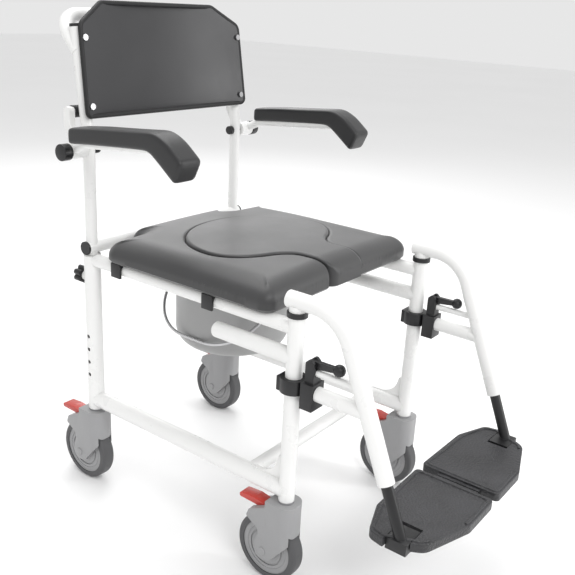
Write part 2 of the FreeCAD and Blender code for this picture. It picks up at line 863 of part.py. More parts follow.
def push_handle():
    """Bent bar behind the backrest, welded to the two canes."""
    path = [(-side_x, 0.0), (-side_x, S.push_reach, S.push_corner_radius),
            (side_x, S.push_reach, S.push_corner_radius), (side_x, 0.0)]
    radius = S.push_bar_od / 2
    bar = bent_bar("push_bar", "XY_Plane", "XZ_Plane", path, (radius, radius - S.tube_wall),
                   0.0, cane_y(S.push_root_z), S.push_root_z, X_AXIS, S.push_tilt)
    core = cane("push_bar_cane", (cane_radius,))
    label("push_handle", cut("push_bar_fitted", bar, core, mirrored("push_bar_cane_twin", core)))


def backrest():
    """Dished moulded panel that leans with the canes and touches their front."""
    upright = 1 / cosine(S.cane_lean)
    levels = [(z - S.cane_bend_z) * upright
              for z in (S.backrest_bottom_z, S.backrest_shoulder_z, S.backrest_top_z)]
    bottom, shoulder, top = levels
    low_x = S.backrest_bottom_width / 2
    mid_x = S.backrest_shoulder_width / 2
    high_x = S.backrest_top_width / 2
    corner = S.backrest_corner_radius
    outline = [(-low_x, bottom, corner), (low_x, bottom, corner), (mid_x, shoulder, corner * 2),
               (high_x, top, corner * 2), (-high_x, top, corner * 2),
               (-mid_x, shoulder, corner * 2)]
    panel = slab("backrest_outline", "XZ_Plane", outline, S.backrest_bottom_width,
                 0.0, rear_y, S.cane_bend_z, -X_AXIS, S.cane_lean)
    radius = (side_x * side_x + S.backrest_dish * S.backrest_dish) / (S.backrest_dish * 2)
    centre_offset = S.backrest_dish - cane_radius - S.backrest_cane_gap - radius
    shells = []
    for name, size in (("outer", radius), ("inner", radius - S.backrest_thickness)):
        shell = doc.addObject("Part::Cylinder", "backrest_%s_face" % name)
        bind(shell, "Radius", size)
        bind(shell, "Height", top + LIFT)
        shells.append(place(shell, 0.0, rear_y + centre_offset * cosine(S.cane_lean),
                            S.cane_bend_z - centre_offset * sine(S.cane_lean),
                            -X_AXIS, S.cane_lean))
    curved = cut("backrest_shell", *shells)
    holes = []
    for name, height in screw_places():
        hole = screw_rod("backrest_hole_" + name, S.backrest_screw_radius + S.bearing_gap,
                         height, 0.0, S.cane_od * 2)
        holes.extend((hole, mirrored("backrest_hole_%s_twin" % name, hole)))
    label("backrest", cut("backrest", common("backrest_panel", curved, panel), *holes))


def backrest_screws():
    screws = []
    seat = cane_radius + S.backrest_cane_gap + S.backrest_thickness
    for name, height in screw_places():
        shank = screw_rod("backrest_shank_" + name, S.backrest_screw_radius,
                          height, cane_radius - S.tube_wall, seat + S.backrest_head_stand)
        head = screw_rod("backrest_head_" + name, S.backrest_screw_head, height,
                         seat + S.backrest_head_stand,
                         seat + S.backrest_head_stand + S.backrest_head_height)
        screws.append(fuse("backrest_screw_" + name, shank, head))
    pair("backrest_screws", group("backrest_screw_set", *screws))


def arm_sleeve_end_x():
    return side_x + cane_radius + 1 + S.arm_sleeve_length


def arm_pivots():
    """Bolt through each cane with a round nut inside and a round clamp knob outside."""
    inner = side_x - cane_radius - S.arm_nut_length
    knob_x = arm_sleeve_end_x() + S.moving_gap
    nut = rod("arm_nut", S.arm_nut_radius, S.arm_nut_length, inner, rear_y, S.arm_pivot_z, "X")
    bolt = rod("arm_bolt", S.arm_bolt_radius, knob_x - inner - 1, inner + 1, rear_y,
               S.arm_pivot_z, "X")
    knob = rod("arm_knob", S.arm_knob_radius, S.arm_knob_length, knob_x, rear_y,
               S.arm_pivot_z, "X")
    pair("arm_pivots", fuse("arm_pivot", bolt, nut, knob))


def back_knobs():
    """Star knob behind each rear leg, with a stud that reaches the cane."""
    face_y = rear_y + S.rear_leg_od / 2 + S.knob_boss_length + S.moving_gap
    core = rod("knob_core", S.knob_core_radius, S.knob_depth, side_x, face_y, S.knob_z, "Y")
    pieces = [core]
    lobe_reach = S.knob_radius - S.knob_lobe_radius
    lobes = 6
    for index in range(lobes):
        turn = 2 * math.pi * index / lobes
        pieces.append(rod("knob_lobe_%d" % index, S.knob_lobe_radius, S.knob_depth,
                          side_x + lobe_reach * math.sin(turn), face_y,
                          S.knob_z + lobe_reach * math.cos(turn), "Y"))
    tip_y = rear_y + cane_radius + S.moving_gap
    pieces.append(rod("knob_stud", S.knob_stud_radius, face_y - tip_y, side_x, tip_y,
                      S.knob_z, "Y"))
    left_and_right("back_knob", fuse("back_knob", *pieces))


# ---------------------------------------------------------------------------------------------
# Arms
# ---------------------------------------------------------------------------------------------


def arm_path():
    """Points of the arm tube's axis, from the pivot to the tip under the pad."""
    z = S.arm_pivot_z
    return [(rear_y - 8, z + 4), (rear_y - 40, z + 18, S.arm_bend_radius),
            (rear_y - 241, z + 37, S.arm_bend_radius), (rear_y - 284, z + 4)]


def arm_bar(name, radii):
    return bent_bar(name, "YZ_Plane", "XZ_Plane", arm_path(), radii,
                    side_x + S.arm_tube_offset)


def bumper_y():
    """The rubber bumper stops just behind the cane when the arm is down."""
    reach = (cane_radius + S.arm_bumper_radius + S.moving_gap) / cosine(S.cane_lean)
    return cane_y(S.arm_bumper_z) + reach


def arm_tubes():
    radius = S.arm_tube_od / 2
    bar = arm_bar("arm_bar", (radius, radius - S.tube_wall))
    start = side_x + cane_radius + 1
    sleeve = rod("arm_sleeve", S.arm_sleeve_radius, S.arm_sleeve_length, start, rear_y,
                 S.arm_pivot_z, "X")
    z = S.arm_pivot_z
    outline = [(rear_y - 6, z - 6), (rear_y + 12, z - 6, 10.0), (bumper_y() + 9, z + 40, 24.0),
               (bumper_y() + 9, S.arm_bumper_z + 9, 7.0),
               (bumper_y() - 9, S.arm_bumper_z + 9, 7.0), (bumper_y() - 8, z + 38, 16.0),
               (rear_y - 6, z + 6)]
    plate_x = start + S.arm_bracket_thickness / 2
    plate = slab("arm_bracket", "YZ_Plane", outline, S.arm_bracket_thickness, plate_x)
    bore = rod("arm_sleeve_bore", S.arm_bolt_radius + S.bearing_gap, S.arm_sleeve_length,
               start, rear_y, S.arm_pivot_z, "X")
    left_and_right("arm_tube", cut("arm_tube", fuse("arm_tube_solid", bar, sleeve, plate), bore))


def arm_pads():
    z = S.arm_pivot_z
    outline = [(rear_y - 30, z + 19, 6.0), (rear_y - 30, z + 49, 14.0),
               (rear_y - 245, z + 69, 40.0), (rear_y - 301, z + 28, 10.0),
               (rear_y - 284, z - 8, 6.0), (rear_y - 230, z + 34, 30.0)]
    pad = slab("arm_pad_block", "YZ_Plane", outline, S.arm_pad_width,
               side_x + S.arm_pad_offset)
    half = S.arm_pad_width.value / 2

    def on_side(edge):
        low, high = edge.BoundBox.XMin, edge.BoundBox.XMax
        return abs(abs(low) - half) < 0.01 and abs(high - low) < 0.01

    round_edges(pad, "arm_pad_round", S.arm_pad_round, on_side)
    core = arm_bar("arm_pad_core", (S.arm_tube_od / 2,))
    left_and_right("arm_pad", cut("arm_pad", pad, core))


def arm_bumpers():
    inner = side_x - cane_radius
    end = side_x + cane_radius + 1
    left_and_right("arm_bumper", rod("arm_bumper", S.arm_bumper_radius, end - inner, inner,
                                     bumper_y(), S.arm_bumper_z, "X"))


# ---------------------------------------------------------------------------------------------
# Seat, lid and pan
# ---------------------------------------------------------------------------------------------


def lid_outline(shrink):
    """Keyhole outline: an oval with a neck that runs out through the seat's front."""
    middle = rear_y - S.lid_middle_setback
    half = S.lid_width / 2 - shrink
    neck = S.lid_neck_width / 2 - shrink
    rear = S.lid_rear_reach - shrink
    front = S.lid_front_reach - shrink
    return middle, half, neck, rear, front


def oval(name, half, rear, front, low, height):
    """Plate made of two half ellipses that share their widest line."""
    middle = rear_y - S.lid_middle_setback
    halves = []
    for part, reach, start in (("rear", rear, 0.0), ("front", front, 180.0)):
        face = doc.addObject("Part::Ellipse", "%s_%s_curve" % (name, part))
        major, minor = (half, reach) if half.value >= reach.value else (reach, half)
        bind(face, "MajorRadius", major)
        bind(face, "MinorRadius", minor)
        place(face, 0.0, middle, low)
        solid = doc.addObject("Part::Extrusion", "%s_%s_plate" % (name, part))
        solid.Base = face
        solid.DirMode = "Custom"
        solid.Dir = Z_AXIS
        bind(solid, "LengthFwd", height)
        solid.Solid = True
        keep_low = middle if start == 0.0 else middle - LIFT * 5
        keep_high = middle + LIFT * 5 if start == 0.0 else middle
        keeper = block("%s_%s_half" % (name, part), (-half - 1, keep_low, low),
                       (half + 1, keep_high, low + height))
        halves.append(common("%s_%s" % (name, part), solid, keeper))
    return fuse(name, *halves)


def seat():
    front = front_y + S.seat_front_setback
    wing = rear_y - S.seat_wing_setback
    tail = rear_y - S.seat_tail_setback
    side = S.seat_width / 2
    tail_x = S.seat_tail_width / 2
    corner = S.seat_corner_radius
    notch = S.seat_notch_radius
    outline = [(-side, front, corner), (side, front, corner), (side, wing, corner),
               (tail_x, wing, notch), (tail_x, tail, notch), (-tail_x, tail, notch),
               (-tail_x, wing, notch), (-side, wing, corner)]
    thickness = S.seat_top_z - S.seat_bottom_z
    middle_z = (S.seat_top_z + S.seat_bottom_z) / 2
    cushion = slab("cushion", "XY_Plane", outline, thickness, 0.0, 0.0, middle_z)
    round_edges(cushion, "cushion_round", S.seat_edge_round, level_edge(thickness.value / 2))
    middle, half, neck, rear, reach = lid_outline(0 * S.lid_gap)
    floor = S.seat_top_z - S.lid_thickness
    recess = oval("lid_recess", half, rear, reach, floor, S.lid_thickness + LIFT)
    slot = block("neck_slot", (-neck, front - LIFT, S.seat_bottom_z - LIFT),
                 (neck, middle, S.seat_top_z + LIFT))
    aperture = rod("seat_aperture", S.aperture_radius, thickness + LIFT, 0.0,
                   rear_y - S.aperture_setback, S.seat_bottom_z - LIFT / 2)
    label("seat", cut("seat", cushion, recess, slot, aperture))


def seat_lid():
    middle, half, neck, rear, reach = lid_outline(S.lid_gap)
    floor = S.seat_top_z - S.lid_thickness + S.moving_gap
    disc = oval("lid_oval", half, rear, reach, floor, S.seat_top_z - floor)
    tongue = block("lid_tongue", (-neck, front_y + S.seat_front_setback + 2, S.seat_bottom_z),
                   (neck, middle - S.lid_front_reach + 30, S.seat_top_z))
    root = block("lid_root", (-neck, middle - S.lid_front_reach, floor),
                 (neck, middle, S.seat_top_z))
    label("seat_lid", fuse("lid_solid", disc, tongue, root))


def seat_clips():
    """Black saddles under the seat that drop over the seat rails."""
    clips = []
    for name, setback in (("rear", S.rear_clip_setback), ("front", S.front_clip_setback)):
        y = rear_y - setback
        solid = block("clip_solid_" + name,
                      (side_x - S.clip_width / 2, y - S.clip_length / 2, S.clip_bottom_z),
                      (side_x + S.clip_width / 2, y + S.clip_length / 2, S.seat_bottom_z))
        radius = S.seat_rail_od / 2 + S.moving_gap
        hole = rod("clip_hole_" + name, radius, S.clip_length, side_x, y - S.clip_length / 2,
                   S.seat_rail_z, "Y")
        mouth = block("clip_mouth_" + name,
                      (side_x - radius, y - S.clip_length / 2, S.clip_bottom_z - 1),
                      (side_x + radius, y + S.clip_length / 2, S.seat_rail_z))
        clips.append(cut("clip_" + name, solid, hole, mouth))
    pair("seat_clips", group("clip_set", *clips))


def bail_pivot_z():
    return pan_rim_bottom_z - S.bail_pivot_drop


def bail_ear_y():
    """How far the outer face of a bail ear stands from the pan's middle."""
    return S.pan_radius + S.bail_ear_depth


def commode_pan():
    """Round bucket with a rim that slides on the runners, and two ears for its bail."""
    rim_top = pan_rim_bottom_z + S.pan_rim_height
    inner = S.pan_radius - S.pan_wall
    base_round = S.pan_bottom_round
    section = [(0.0, S.pan_bottom_z), (S.pan_radius, S.pan_bottom_z, base_round),
               (S.pan_radius, pan_rim_bottom_z), (S.pan_rim_radius, pan_rim_bottom_z),
               (S.pan_rim_radius, rim_top), (inner, rim_top),
               (inner, S.pan_bottom_z + S.pan_wall, base_round - S.pan_wall),
               (0.0, S.pan_bottom_z + S.pan_wall)]
    bowl = lathe("pan_bowl", "XZ_Plane", section, "V_Axis", 0.0, pan_y)
    ears = []
    for name, near, far in (("rear", S.pan_radius - 1, bail_ear_y()),
                            ("front", -bail_ear_y(), 1 - S.pan_radius)):
        ears.append(block("bail_ear_" + name,
                          (-S.bail_ear_width / 2, pan_y + near,
                           bail_pivot_z() - S.bail_ear_width / 2),
                          (S.bail_ear_width / 2, pan_y + far, pan_rim_bottom_z)))
    bore = S.bail_wire_radius + S.bearing_gap
    holes = [rod("bail_hole_rear", bore, S.bail_ear_depth, 0.0, pan_y + S.pan_radius,
                 bail_pivot_z(), "Y"),
             rod("bail_hole_front", bore, S.bail_ear_depth, 0.0, pan_y - bail_ear_y(),
                 bail_pivot_z(), "Y")]
    label("commode_pan", cut("commode_pan", fuse("pan_solid", bowl, *ears), *holes))


def pan_bail():
    """Wire handle that hangs at the pan's side and swings up."""
    reach = bail_ear_y() + S.bail_wire_radius + S.moving_gap * 2
    path = [(-reach, 0.0), (-reach, S.bail_depth, S.bail_corner_radius),
            (reach, S.bail_depth, S.bail_corner_radius), (reach, 0.0)]
    body = new_body("bail_wire")
    tilt = Rotation(Vector(0, 1, 0), S.bail_lean.value)
    turn = Rotation(Vector(0, -1, 0), Vector(0, 0, -1), Vector(-1, 0, 0), "XYZ")
    spine = new_sketch(body, "bail_path", "XY_Plane")
    draw_path(spine, path, False)
    section = new_sketch(body, "bail_section", "XZ_Plane")
    draw_circle(section, (-reach, 0.0), S.bail_wire_radius)
    pipe = body.newObject("PartDesign::AdditivePipe", "bail_pipe")
    pipe.Profile = section
    pipe.Spine = (spine, [])
    body.Placement = Placement(Vector(0, 0, 0), tilt.multiply(turn))
    body.setExpression("Placement.Base.y", pan_y.text)
    body.setExpression("Placement.Base.z", bail_pivot_z().text)
    pins = []
    for name, y in (("rear", pan_y + S.pan_radius + 1), ("front", pan_y - reach)):
        pins.append(rod("bail_pin_" + name, S.bail_wire_radius, reach - S.pan_radius - 1,
                        0.0, y, bail_pivot_z(), "Y"))
    ends = []
    for name, y in (("rear", pan_y + reach), ("front", pan_y - reach)):
        ends.append(ball("bail_end_" + name, S.bail_wire_radius, 0.0, y, bail_pivot_z()))
    label("pan_bail", fuse("pan_bail", body, *pins, *ends))


# ---------------------------------------------------------------------------------------------
# Footrest hangers
# ---------------------------------------------------------------------------------------------


def hanger_bar(name, radii):
    path = [(front_y + S.hanger_rear_reach, S.hanger_z),
            (front_y - S.hanger_corner_reach, S.hanger_z, S.hanger_bend_radius),
            (hanger_y(S.hanger_foot_z), S.hanger_foot_z)]
    return bent_bar(name, "YZ_Plane", "XZ_Plane", path, radii, side_x)


def hanger_tubes():
    """Bent tube with a hinge pin in the front leg and a sleeve for the footrest stem."""
    bar = hanger_bar("hanger_bar", (hanger_radius, hanger_radius - S.tube_wall))
    pin_foot = S.front_leg_top_z - S.hinge_bush_depth + 5
    pin = rod("hanger_pin", S.hanger_pin_radius, S.hanger_z - pin_foot, side_x, front_y, pin_foot)
    collar_foot = S.front_leg_top_z + S.hinge_bush_flange_height + S.moving_gap
    collar = rod("hanger_collar", hanger_radius, S.hanger_z - hanger_radius / 2 - collar_foot,
                 side_x, front_y, collar_foot)
    end = rod("hanger_end", hanger_radius, S.tube_wall, side_x,
              front_y + S.hanger_rear_reach - S.tube_wall, S.hanger_z, "Y")
    sleeve_foot = (side_x, hanger_y(S.hanger_foot_z), S.hanger_foot_z)
    sleeve = leaning_rod("hanger_sleeve", hanger_radius - S.tube_wall, S.hanger_sleeve_length,
                         *sleeve_foot, S.hanger_angle)
    bore = leaning_rod("hanger_sleeve_bore", S.stem_radius + S.bearing_gap,
                       S.hanger_sleeve_length, *sleeve_foot, S.hanger_angle)
    ring = cut("hanger_sleeve_ring", sleeve, bore)
    left_and_right("hanger_tube", fuse("hanger_tube", bar, pin, collar, end, ring))


def housing_rear_y():
    """Rear face of the latch housing, clear of the bracket on the leg."""
    return front_y - S.bracket_radius - S.housing_gap


def post_middle_y():
    return housing_rear_y() - S.housing_depth / 2


def hanger_braces():
    """Brace tube and thin strut between the latch housing and the hanger tube."""
    core = hanger_bar("brace_core", (hanger_radius,))
    start = housing_rear_y() - S.housing_depth
    end = hanger_y(S.brace_z)
    lower = tube("brace_tube", S.brace_od, start - end, side_x, end, S.brace_z, "Y")
    strut_start = post_middle_y() - S.post_depth / 2
    strut_end = hanger_y(S.strut_z)
    upper = rod("brace_strut", S.strut_od / 2, strut_start - strut_end, side_x, strut_end,
                S.strut_z, "Y")
    lower = cut("brace_tube_fitted", lower, core)
    upper = cut("brace_strut_fitted", upper, core)
    left_and_right("hanger_brace", group("hanger_brace", lower, upper))


def latch_housings():
    """Block and slotted post that carry the release lever."""
    low_x = side_x - S.housing_width / 2
    high_x = side_x + S.housing_width / 2
    body = block("housing_body", (low_x, housing_rear_y() - S.housing_depth, S.housing_bottom_z),
                 (high_x, housing_rear_y(), S.housing_top_z))
    middle = post_middle_y()
    half = S.post_depth / 2
    outline = [(middle - half, S.housing_top_z - 1), (middle + half, S.housing_top_z - 1),
               (middle + half, S.post_top_z - 8, 5.0), (middle, S.post_top_z, 5.0),
               (middle - half, S.post_top_z - 8, 5.0)]
    post = slab("housing_post", "YZ_Plane", outline, S.post_width, side_x)
    slot_half = S.lever_width / 2 + S.moving_gap
    slot = block("housing_slot", (side_x - slot_half, middle - LIFT, S.lever_pivot_z - 9),
                 (side_x + slot_half, middle + LIFT, S.post_top_z + 1))
    hole = rod("housing_pin_hole", S.lever_pin_radius, S.post_width, side_x - S.post_width / 2,
               middle, S.lever_pivot_z, "X")
    pin = rod("housing_pin", S.lever_pin_radius, S.post_width, side_x - S.post_width / 2,
              middle, S.lever_pivot_z, "X")
    shell = cut("housing_shell", fuse("housing_solid", body, post), slot, hole)
    left_and_right("latch_housing", group("latch_housing", shell, pin))


def latch_levers():
    middle = post_middle_y()
    z = S.lever_pivot_z
    reach = middle - S.lever_reach
    outline = [(middle + 6, z - 6, 5.0), (middle + 6, z + 6, 5.0), (reach, z + 7),
               (reach, z - 1), (middle - 10, z - 6, 10.0)]
    arm = slab("lever_arm", "YZ_Plane", outline, S.lever_width, side_x)
    grip = ball("lever_ball", S.lever_ball_radius, side_x, reach, z + 3)
    bore = rod("lever_bore", S.lever_pin_radius + S.bearing_gap, S.post_width,
               side_x - S.post_width / 2, middle, z, "X")
    left_and_right("latch_lever", cut("latch_lever", fuse("lever_solid", arm, grip), bore))


def block_y():
    """Middle of the footplate's hinge block, under the stem."""
    return hanger_y(S.plate_top_z)


def footrest_stems():
    """Stem that slides in the hanger, with the block and pin that the footplate turns on."""
    foot_z = (S.block_bottom_z + S.plate_top_z) / 2
    stem = leaning_rod("stem_rod", S.stem_radius,
                       (S.stem_top_z - foot_z) / cosine(S.hanger_angle),
                       side_x, hanger_y(foot_z), foot_z, S.hanger_angle)
    foot = block("stem_block",
                 (S.plate_hinge_x - S.block_inner_reach, block_y() - S.block_half_depth,
                  S.block_bottom_z),
                 (S.block_outer_x, block_y() + S.block_half_depth, S.plate_top_z))
    floor = block("stem_trim", (0.0, block_y() - LIFT * 2, S.block_bottom_z - LIFT),
                  (S.block_outer_x + LIFT, block_y() + LIFT * 2, S.block_bottom_z))
    reach = S.block_half_depth + S.hinge_pin_reach
    pin = rod("stem_pin", S.plate_hinge_radius, reach * 2, S.plate_hinge_x, block_y() - reach,
              S.plate_hinge_z, "Y")
    left_and_right("footrest_stem", cut("footrest_stem", fuse("stem_solid", stem, foot, pin),
                                        floor))


def footplates():
    corner = S.plate_corner_radius
    outline = [(9.0, front_y - 286, corner), (100.0, front_y - 286, corner * 3),
               (192.0, front_y - 256, corner * 3), (222.0, front_y - 201, corner * 3),
               (215.0, front_y - 169, corner * 2), (150.0, front_y - 144, corner * 3),
               (9.0, front_y - 141, corner)]
    thickness = S.plate_top_z - S.plate_bottom_z
    middle_z = (S.plate_top_z + S.plate_bottom_z) / 2
    plate = slab("plate", "XY_Plane", outline, thickness, 0.0, 0.0, middle_z)
    round_edges(plate, "plate_round", 2.0, level_edge(thickness.value / 2))
    tab = block("plate_tab", (1.5, front_y - 254, S.plate_bottom_z + 3),
                (12.0, front_y - 174, S.plate_top_z - 4))
    depth = S.block_half_depth + 1
    notch = block("plate_notch",
                  (S.plate_hinge_x - S.plate_notch_reach, block_y() - depth, 0.0),
                  (S.block_outer_x + LIFT, block_y() + depth, S.plate_top_z + LIFT))
    reach = S.block_half_depth + S.hinge_pin_reach + S.moving_gap
    bore = rod("plate_bore", S.plate_hinge_radius + S.bearing_gap, reach * 2, S.plate_hinge_x,
               block_y() - reach, S.plate_hinge_z, "Y")
    left_and_right("footplate", cut("footplate", fuse("plate_solid", plate, tab), notch, bore))


# ---------------------------------------------------------------------------------------------
# Casters
# ---------------------------------------------------------------------------------------------


def caster_fork(name, x, y):
    """Hood with two cheeks, the wheel's axle and the pedal's pin."""
    wheel_y = y + S.caster_trail
    boss_z = wheel_radius
    top = S.fork_top_z
    outline = [(y - 25, top), (y - 25, boss_z + 32, 26.0), (wheel_y - 15, boss_z - 14, 8.0),
               (wheel_y + 15, boss_z - 14, 8.0), (wheel_y + 17, boss_z + 12, 14.0),
               (wheel_y + 8, boss_z + 38, 12.0), (wheel_y + 38, boss_z + 56, 5.0),
               (wheel_y + 32, boss_z + 72, 8.0), (y + 26, top - 14, 6.0), (y + 26, top)]
    hood = slab(name + "_hood", "YZ_Plane", outline, S.fork_width, x)
    boss = rod(name + "_boss", S.fork_boss_radius, S.fork_width, x - S.fork_width / 2,
               wheel_y, boss_z, "X")
    slot = rod(name + "_slot", wheel_radius + S.fork_slot_gap, S.fork_slot_width,
               x - S.fork_slot_width / 2, wheel_y, boss_z, "X")
    king_foot = S.kingpin_foot_z - S.moving_gap
    king_bore = rod(name + "_king_bore", S.kingpin_radius + S.bearing_gap, top - king_foot,
                    x, y, king_foot)
    axle_bore = rod(name + "_axle_bore", S.axle_radius, S.fork_width, x - S.fork_width / 2,
                    wheel_y, boss_z, "X")
    pivot_y = y + S.pedal_pivot_y
    pivot_z = S.pedal_pivot_z
    pocket_outline = [(pivot_y - 10, pivot_z + LIFT), (pivot_y - 10, pivot_z - 6.5),
                      (pivot_y + 8, pivot_z - 6.5), (pivot_y + 34, pivot_z - 18.5),
                      (pivot_y + 34, pivot_z + LIFT)]
    pocket = slab(name + "_pocket", "YZ_Plane", pocket_outline,
                  S.pedal_width + S.pedal_side_gap * 2, x)
    pin_length = S.fork_width - 8
    pin_spec = (S.pedal_pin_radius, pin_length, x - pin_length / 2, pivot_y, pivot_z, "X")
    pin_hole = rod(name + "_pin_hole", *pin_spec)
    side = S.fork_width / 2
    plan_outline = [(x - side, y - 25, S.fork_plan_radius), (x + side, y - 25, S.fork_plan_radius),
                    (x + side, y + LIFT * 2), (x - side, y + LIFT * 2)]
    plan = slab(name + "_plan", "XY_Plane", plan_outline, LIFT * 4, 0.0, 0.0, top / 2)
    body = common(name + "_body", fuse(name + "_solid", hood, boss), plan)
    shell = cut(name + "_shell", body, slot, king_bore, axle_bore, pocket, pin_hole)
    axle = rod(name + "_axle", S.axle_radius, S.fork_width, x - S.fork_width / 2,
               wheel_y, boss_z, "X")
    pin = rod(name + "_pin", *pin_spec)
    label(name, group(name, shell, axle, pin))


def caster_wheel(name, x, y):
    half = S.hub_width / 2
    low = S.hub_groove_radius - S.hub_groove_width / 2
    high = S.hub_groove_radius + S.hub_groove_width / 2
    floor = half - S.hub_groove_depth
    bore = S.axle_radius + S.bearing_gap
    section = [(-half, bore), (half, bore), (half, low), (floor, low), (floor, high),
               (half, high), (half, S.hub_radius), (-half, S.hub_radius), (-half, high),
               (-floor, high), (-floor, low), (-half, low)]
    label(name, lathe(name, "XY_Plane", section, "H_Axis", x, y + S.caster_trail, wheel_radius))


def caster_tyre(name, x, y):
    half = S.tyre_width / 2
    section = [(-half, S.hub_radius), (half, S.hub_radius), (half, wheel_radius, S.tyre_round),
               (-half, wheel_radius, S.tyre_round)]
    label(name, lathe(name, "XY_Plane", section, "H_Axis", x, y + S.caster_trail, wheel_radius))


def caster_pedal(name, x, y):
    """Brake pedal that rocks on the pin in the hood's pocket."""
    pivot_y = y + S.pedal_pivot_y
    pivot_z = S.pedal_pivot_z
    outline = [(pivot_y - 7, pivot_z - 4, 3.0), (pivot_y - 7, pivot_z + 8, 4.0),
               (pivot_y + 18, pivot_z + 12, 20.0), (pivot_y + 50, pivot_z + 9, 3.0),
               (pivot_y + 50, pivot_z + 1, 3.0), (pivot_y + 13, pivot_z),
               (pivot_y + 5, pivot_z - 4, 2.0)]
    plate = slab(name + "_plate", "YZ_Plane", outline, S.pedal_width, x)
    bore = rod(name + "_bore", S.pedal_pin_radius + S.bearing_gap, S.pedal_width,
               x - S.pedal_width / 2, pivot_y, pivot_z, "X")
    label(name, cut(name, plate, bore))


def casters():
    for end, y in (("front", front_y), ("rear", rear_y)):
        for hand, x in (("left", side_x), ("right", -side_x)):
            place_name = "_%s_%s" % (end, hand)
            caster_fork("fork" + place_name, x, y)
            caster_wheel("wheel" + place_name, x, y)
            caster_tyre("tyre" + place_name, x, y)
            caster_pedal("pedal" + place_name, x, y)


# ---------------------------------------------------------------------------------------------
# Build, check and write
# ---------------------------------------------------------------------------------------------


def build():
    rear_legs()
    front_legs()
    pair("lower_side_rails", side_rail("lower_rail", S.lower_rail_od, S.lower_rail_z))
    pair("seat_rails", side_rail("seat_rail", S.seat_rail_od, S.seat_rail_z))
    stub_rails()
    front_cross_tube()
    leg_gussets()
    hinge_bushes()
    cane_bushes()
    pan_runners()
    latch_brackets()
    caster_stems()
    back_canes()
    back_cross_tube()
    tube_plugs()
    push_handle()
    backrest()
    backrest_screws()
    arm_pivots()
    back_knobs()
    arm_tubes()
    arm_pads()
    arm_bumpers()
    seat()
    seat_clips()
    seat_lid()
    commode_pan()
    pan_bail()
    hanger_tubes()
    hanger_braces()
    latch_housings()
    latch_levers()
    footrest_stems()
    footplates()
    casters()
    doc.recompute()


def check():
    """Stop if any object failed or any sub-part is not a sound solid."""
    for item in doc.Objects:
        if "Invalid" in item.State or "Error" in item.State:
            raise RuntimeError("%s failed: %s" % (item.Label, item.State))
    for item in subparts:
        shape = item.Shape
        if shape.isNull() or not shape.isValid() or not shape.Solids:
            raise RuntimeError("%s has no sound shape" % item.Label)


def write():
    os.makedirs("parts", exist_ok=True)
    for item in subparts:
        item.Shape.exportStep("parts/%s.step" % item.Label)


def report_box():
    box = subparts[0].Shape.BoundBox
    for item in subparts:
        box.add(item.Shape.BoundBox)
    print("%d sub-parts" % len(subparts))
    print("x %.2f to %.2f" % (box.XMin, box.XMax))
    print("y %.2f to %.2f" % (box.YMin, box.YMax))
    print("z %.2f to %.2f" % (box.ZMin, box.ZMax))


build()
check()
write()
report_box()
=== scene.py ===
import json
import math

import bpy
import numpy as np
from mathutils import Matrix, Vector

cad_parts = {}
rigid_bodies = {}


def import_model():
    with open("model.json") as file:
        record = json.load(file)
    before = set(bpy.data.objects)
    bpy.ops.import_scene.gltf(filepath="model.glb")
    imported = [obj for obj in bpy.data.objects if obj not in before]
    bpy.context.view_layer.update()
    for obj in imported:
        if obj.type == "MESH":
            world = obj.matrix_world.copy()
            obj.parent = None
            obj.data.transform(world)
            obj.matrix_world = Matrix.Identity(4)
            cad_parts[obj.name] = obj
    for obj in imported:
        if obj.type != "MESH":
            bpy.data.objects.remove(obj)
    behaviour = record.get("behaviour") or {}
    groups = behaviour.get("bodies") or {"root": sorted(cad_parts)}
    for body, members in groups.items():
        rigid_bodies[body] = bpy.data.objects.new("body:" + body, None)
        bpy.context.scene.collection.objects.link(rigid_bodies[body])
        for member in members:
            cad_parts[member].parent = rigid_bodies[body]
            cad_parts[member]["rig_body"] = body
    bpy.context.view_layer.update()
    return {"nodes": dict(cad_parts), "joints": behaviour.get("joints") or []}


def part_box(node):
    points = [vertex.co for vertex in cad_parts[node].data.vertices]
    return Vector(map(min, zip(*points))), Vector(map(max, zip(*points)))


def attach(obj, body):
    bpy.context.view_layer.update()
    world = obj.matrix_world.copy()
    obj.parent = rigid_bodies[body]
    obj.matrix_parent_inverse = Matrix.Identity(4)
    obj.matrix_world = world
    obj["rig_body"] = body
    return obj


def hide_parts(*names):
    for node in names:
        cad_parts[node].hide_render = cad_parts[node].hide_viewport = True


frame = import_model()

bl_info = {
    "name": "Commode chair finish",
    "version": (1, 0, 0),
    "blender": (4, 5, 0),
    "location": "View3D > Sidebar > Commode chair",
    "description": "Builds the padded parts, trim and finishes of a wheeled commode chair",
    "category": "Object",
}

MM = 0.001
SIDES = (("left", 1), ("right", -1))
CASTERS = tuple((end, side) for end in ("front", "rear") for side in ("left", "right"))
NODES = frame["nodes"]
JOINTS = {joint["name"]: joint for joint in frame["joints"]}


# ---------------------------------------------------------------------------------------------
# Settings a user can change
# ---------------------------------------------------------------------------------------------


def colour_setting(name, description, default):
    return bpy.props.FloatVectorProperty(name=name, description=description, subtype="COLOR",
                                         size=3, min=0.0, max=1.0, default=default)


def length_setting(name, description, default):
    return bpy.props.FloatProperty(name=name, description=description, default=default * MM,
                                   min=0.0, unit="LENGTH", subtype="DISTANCE")


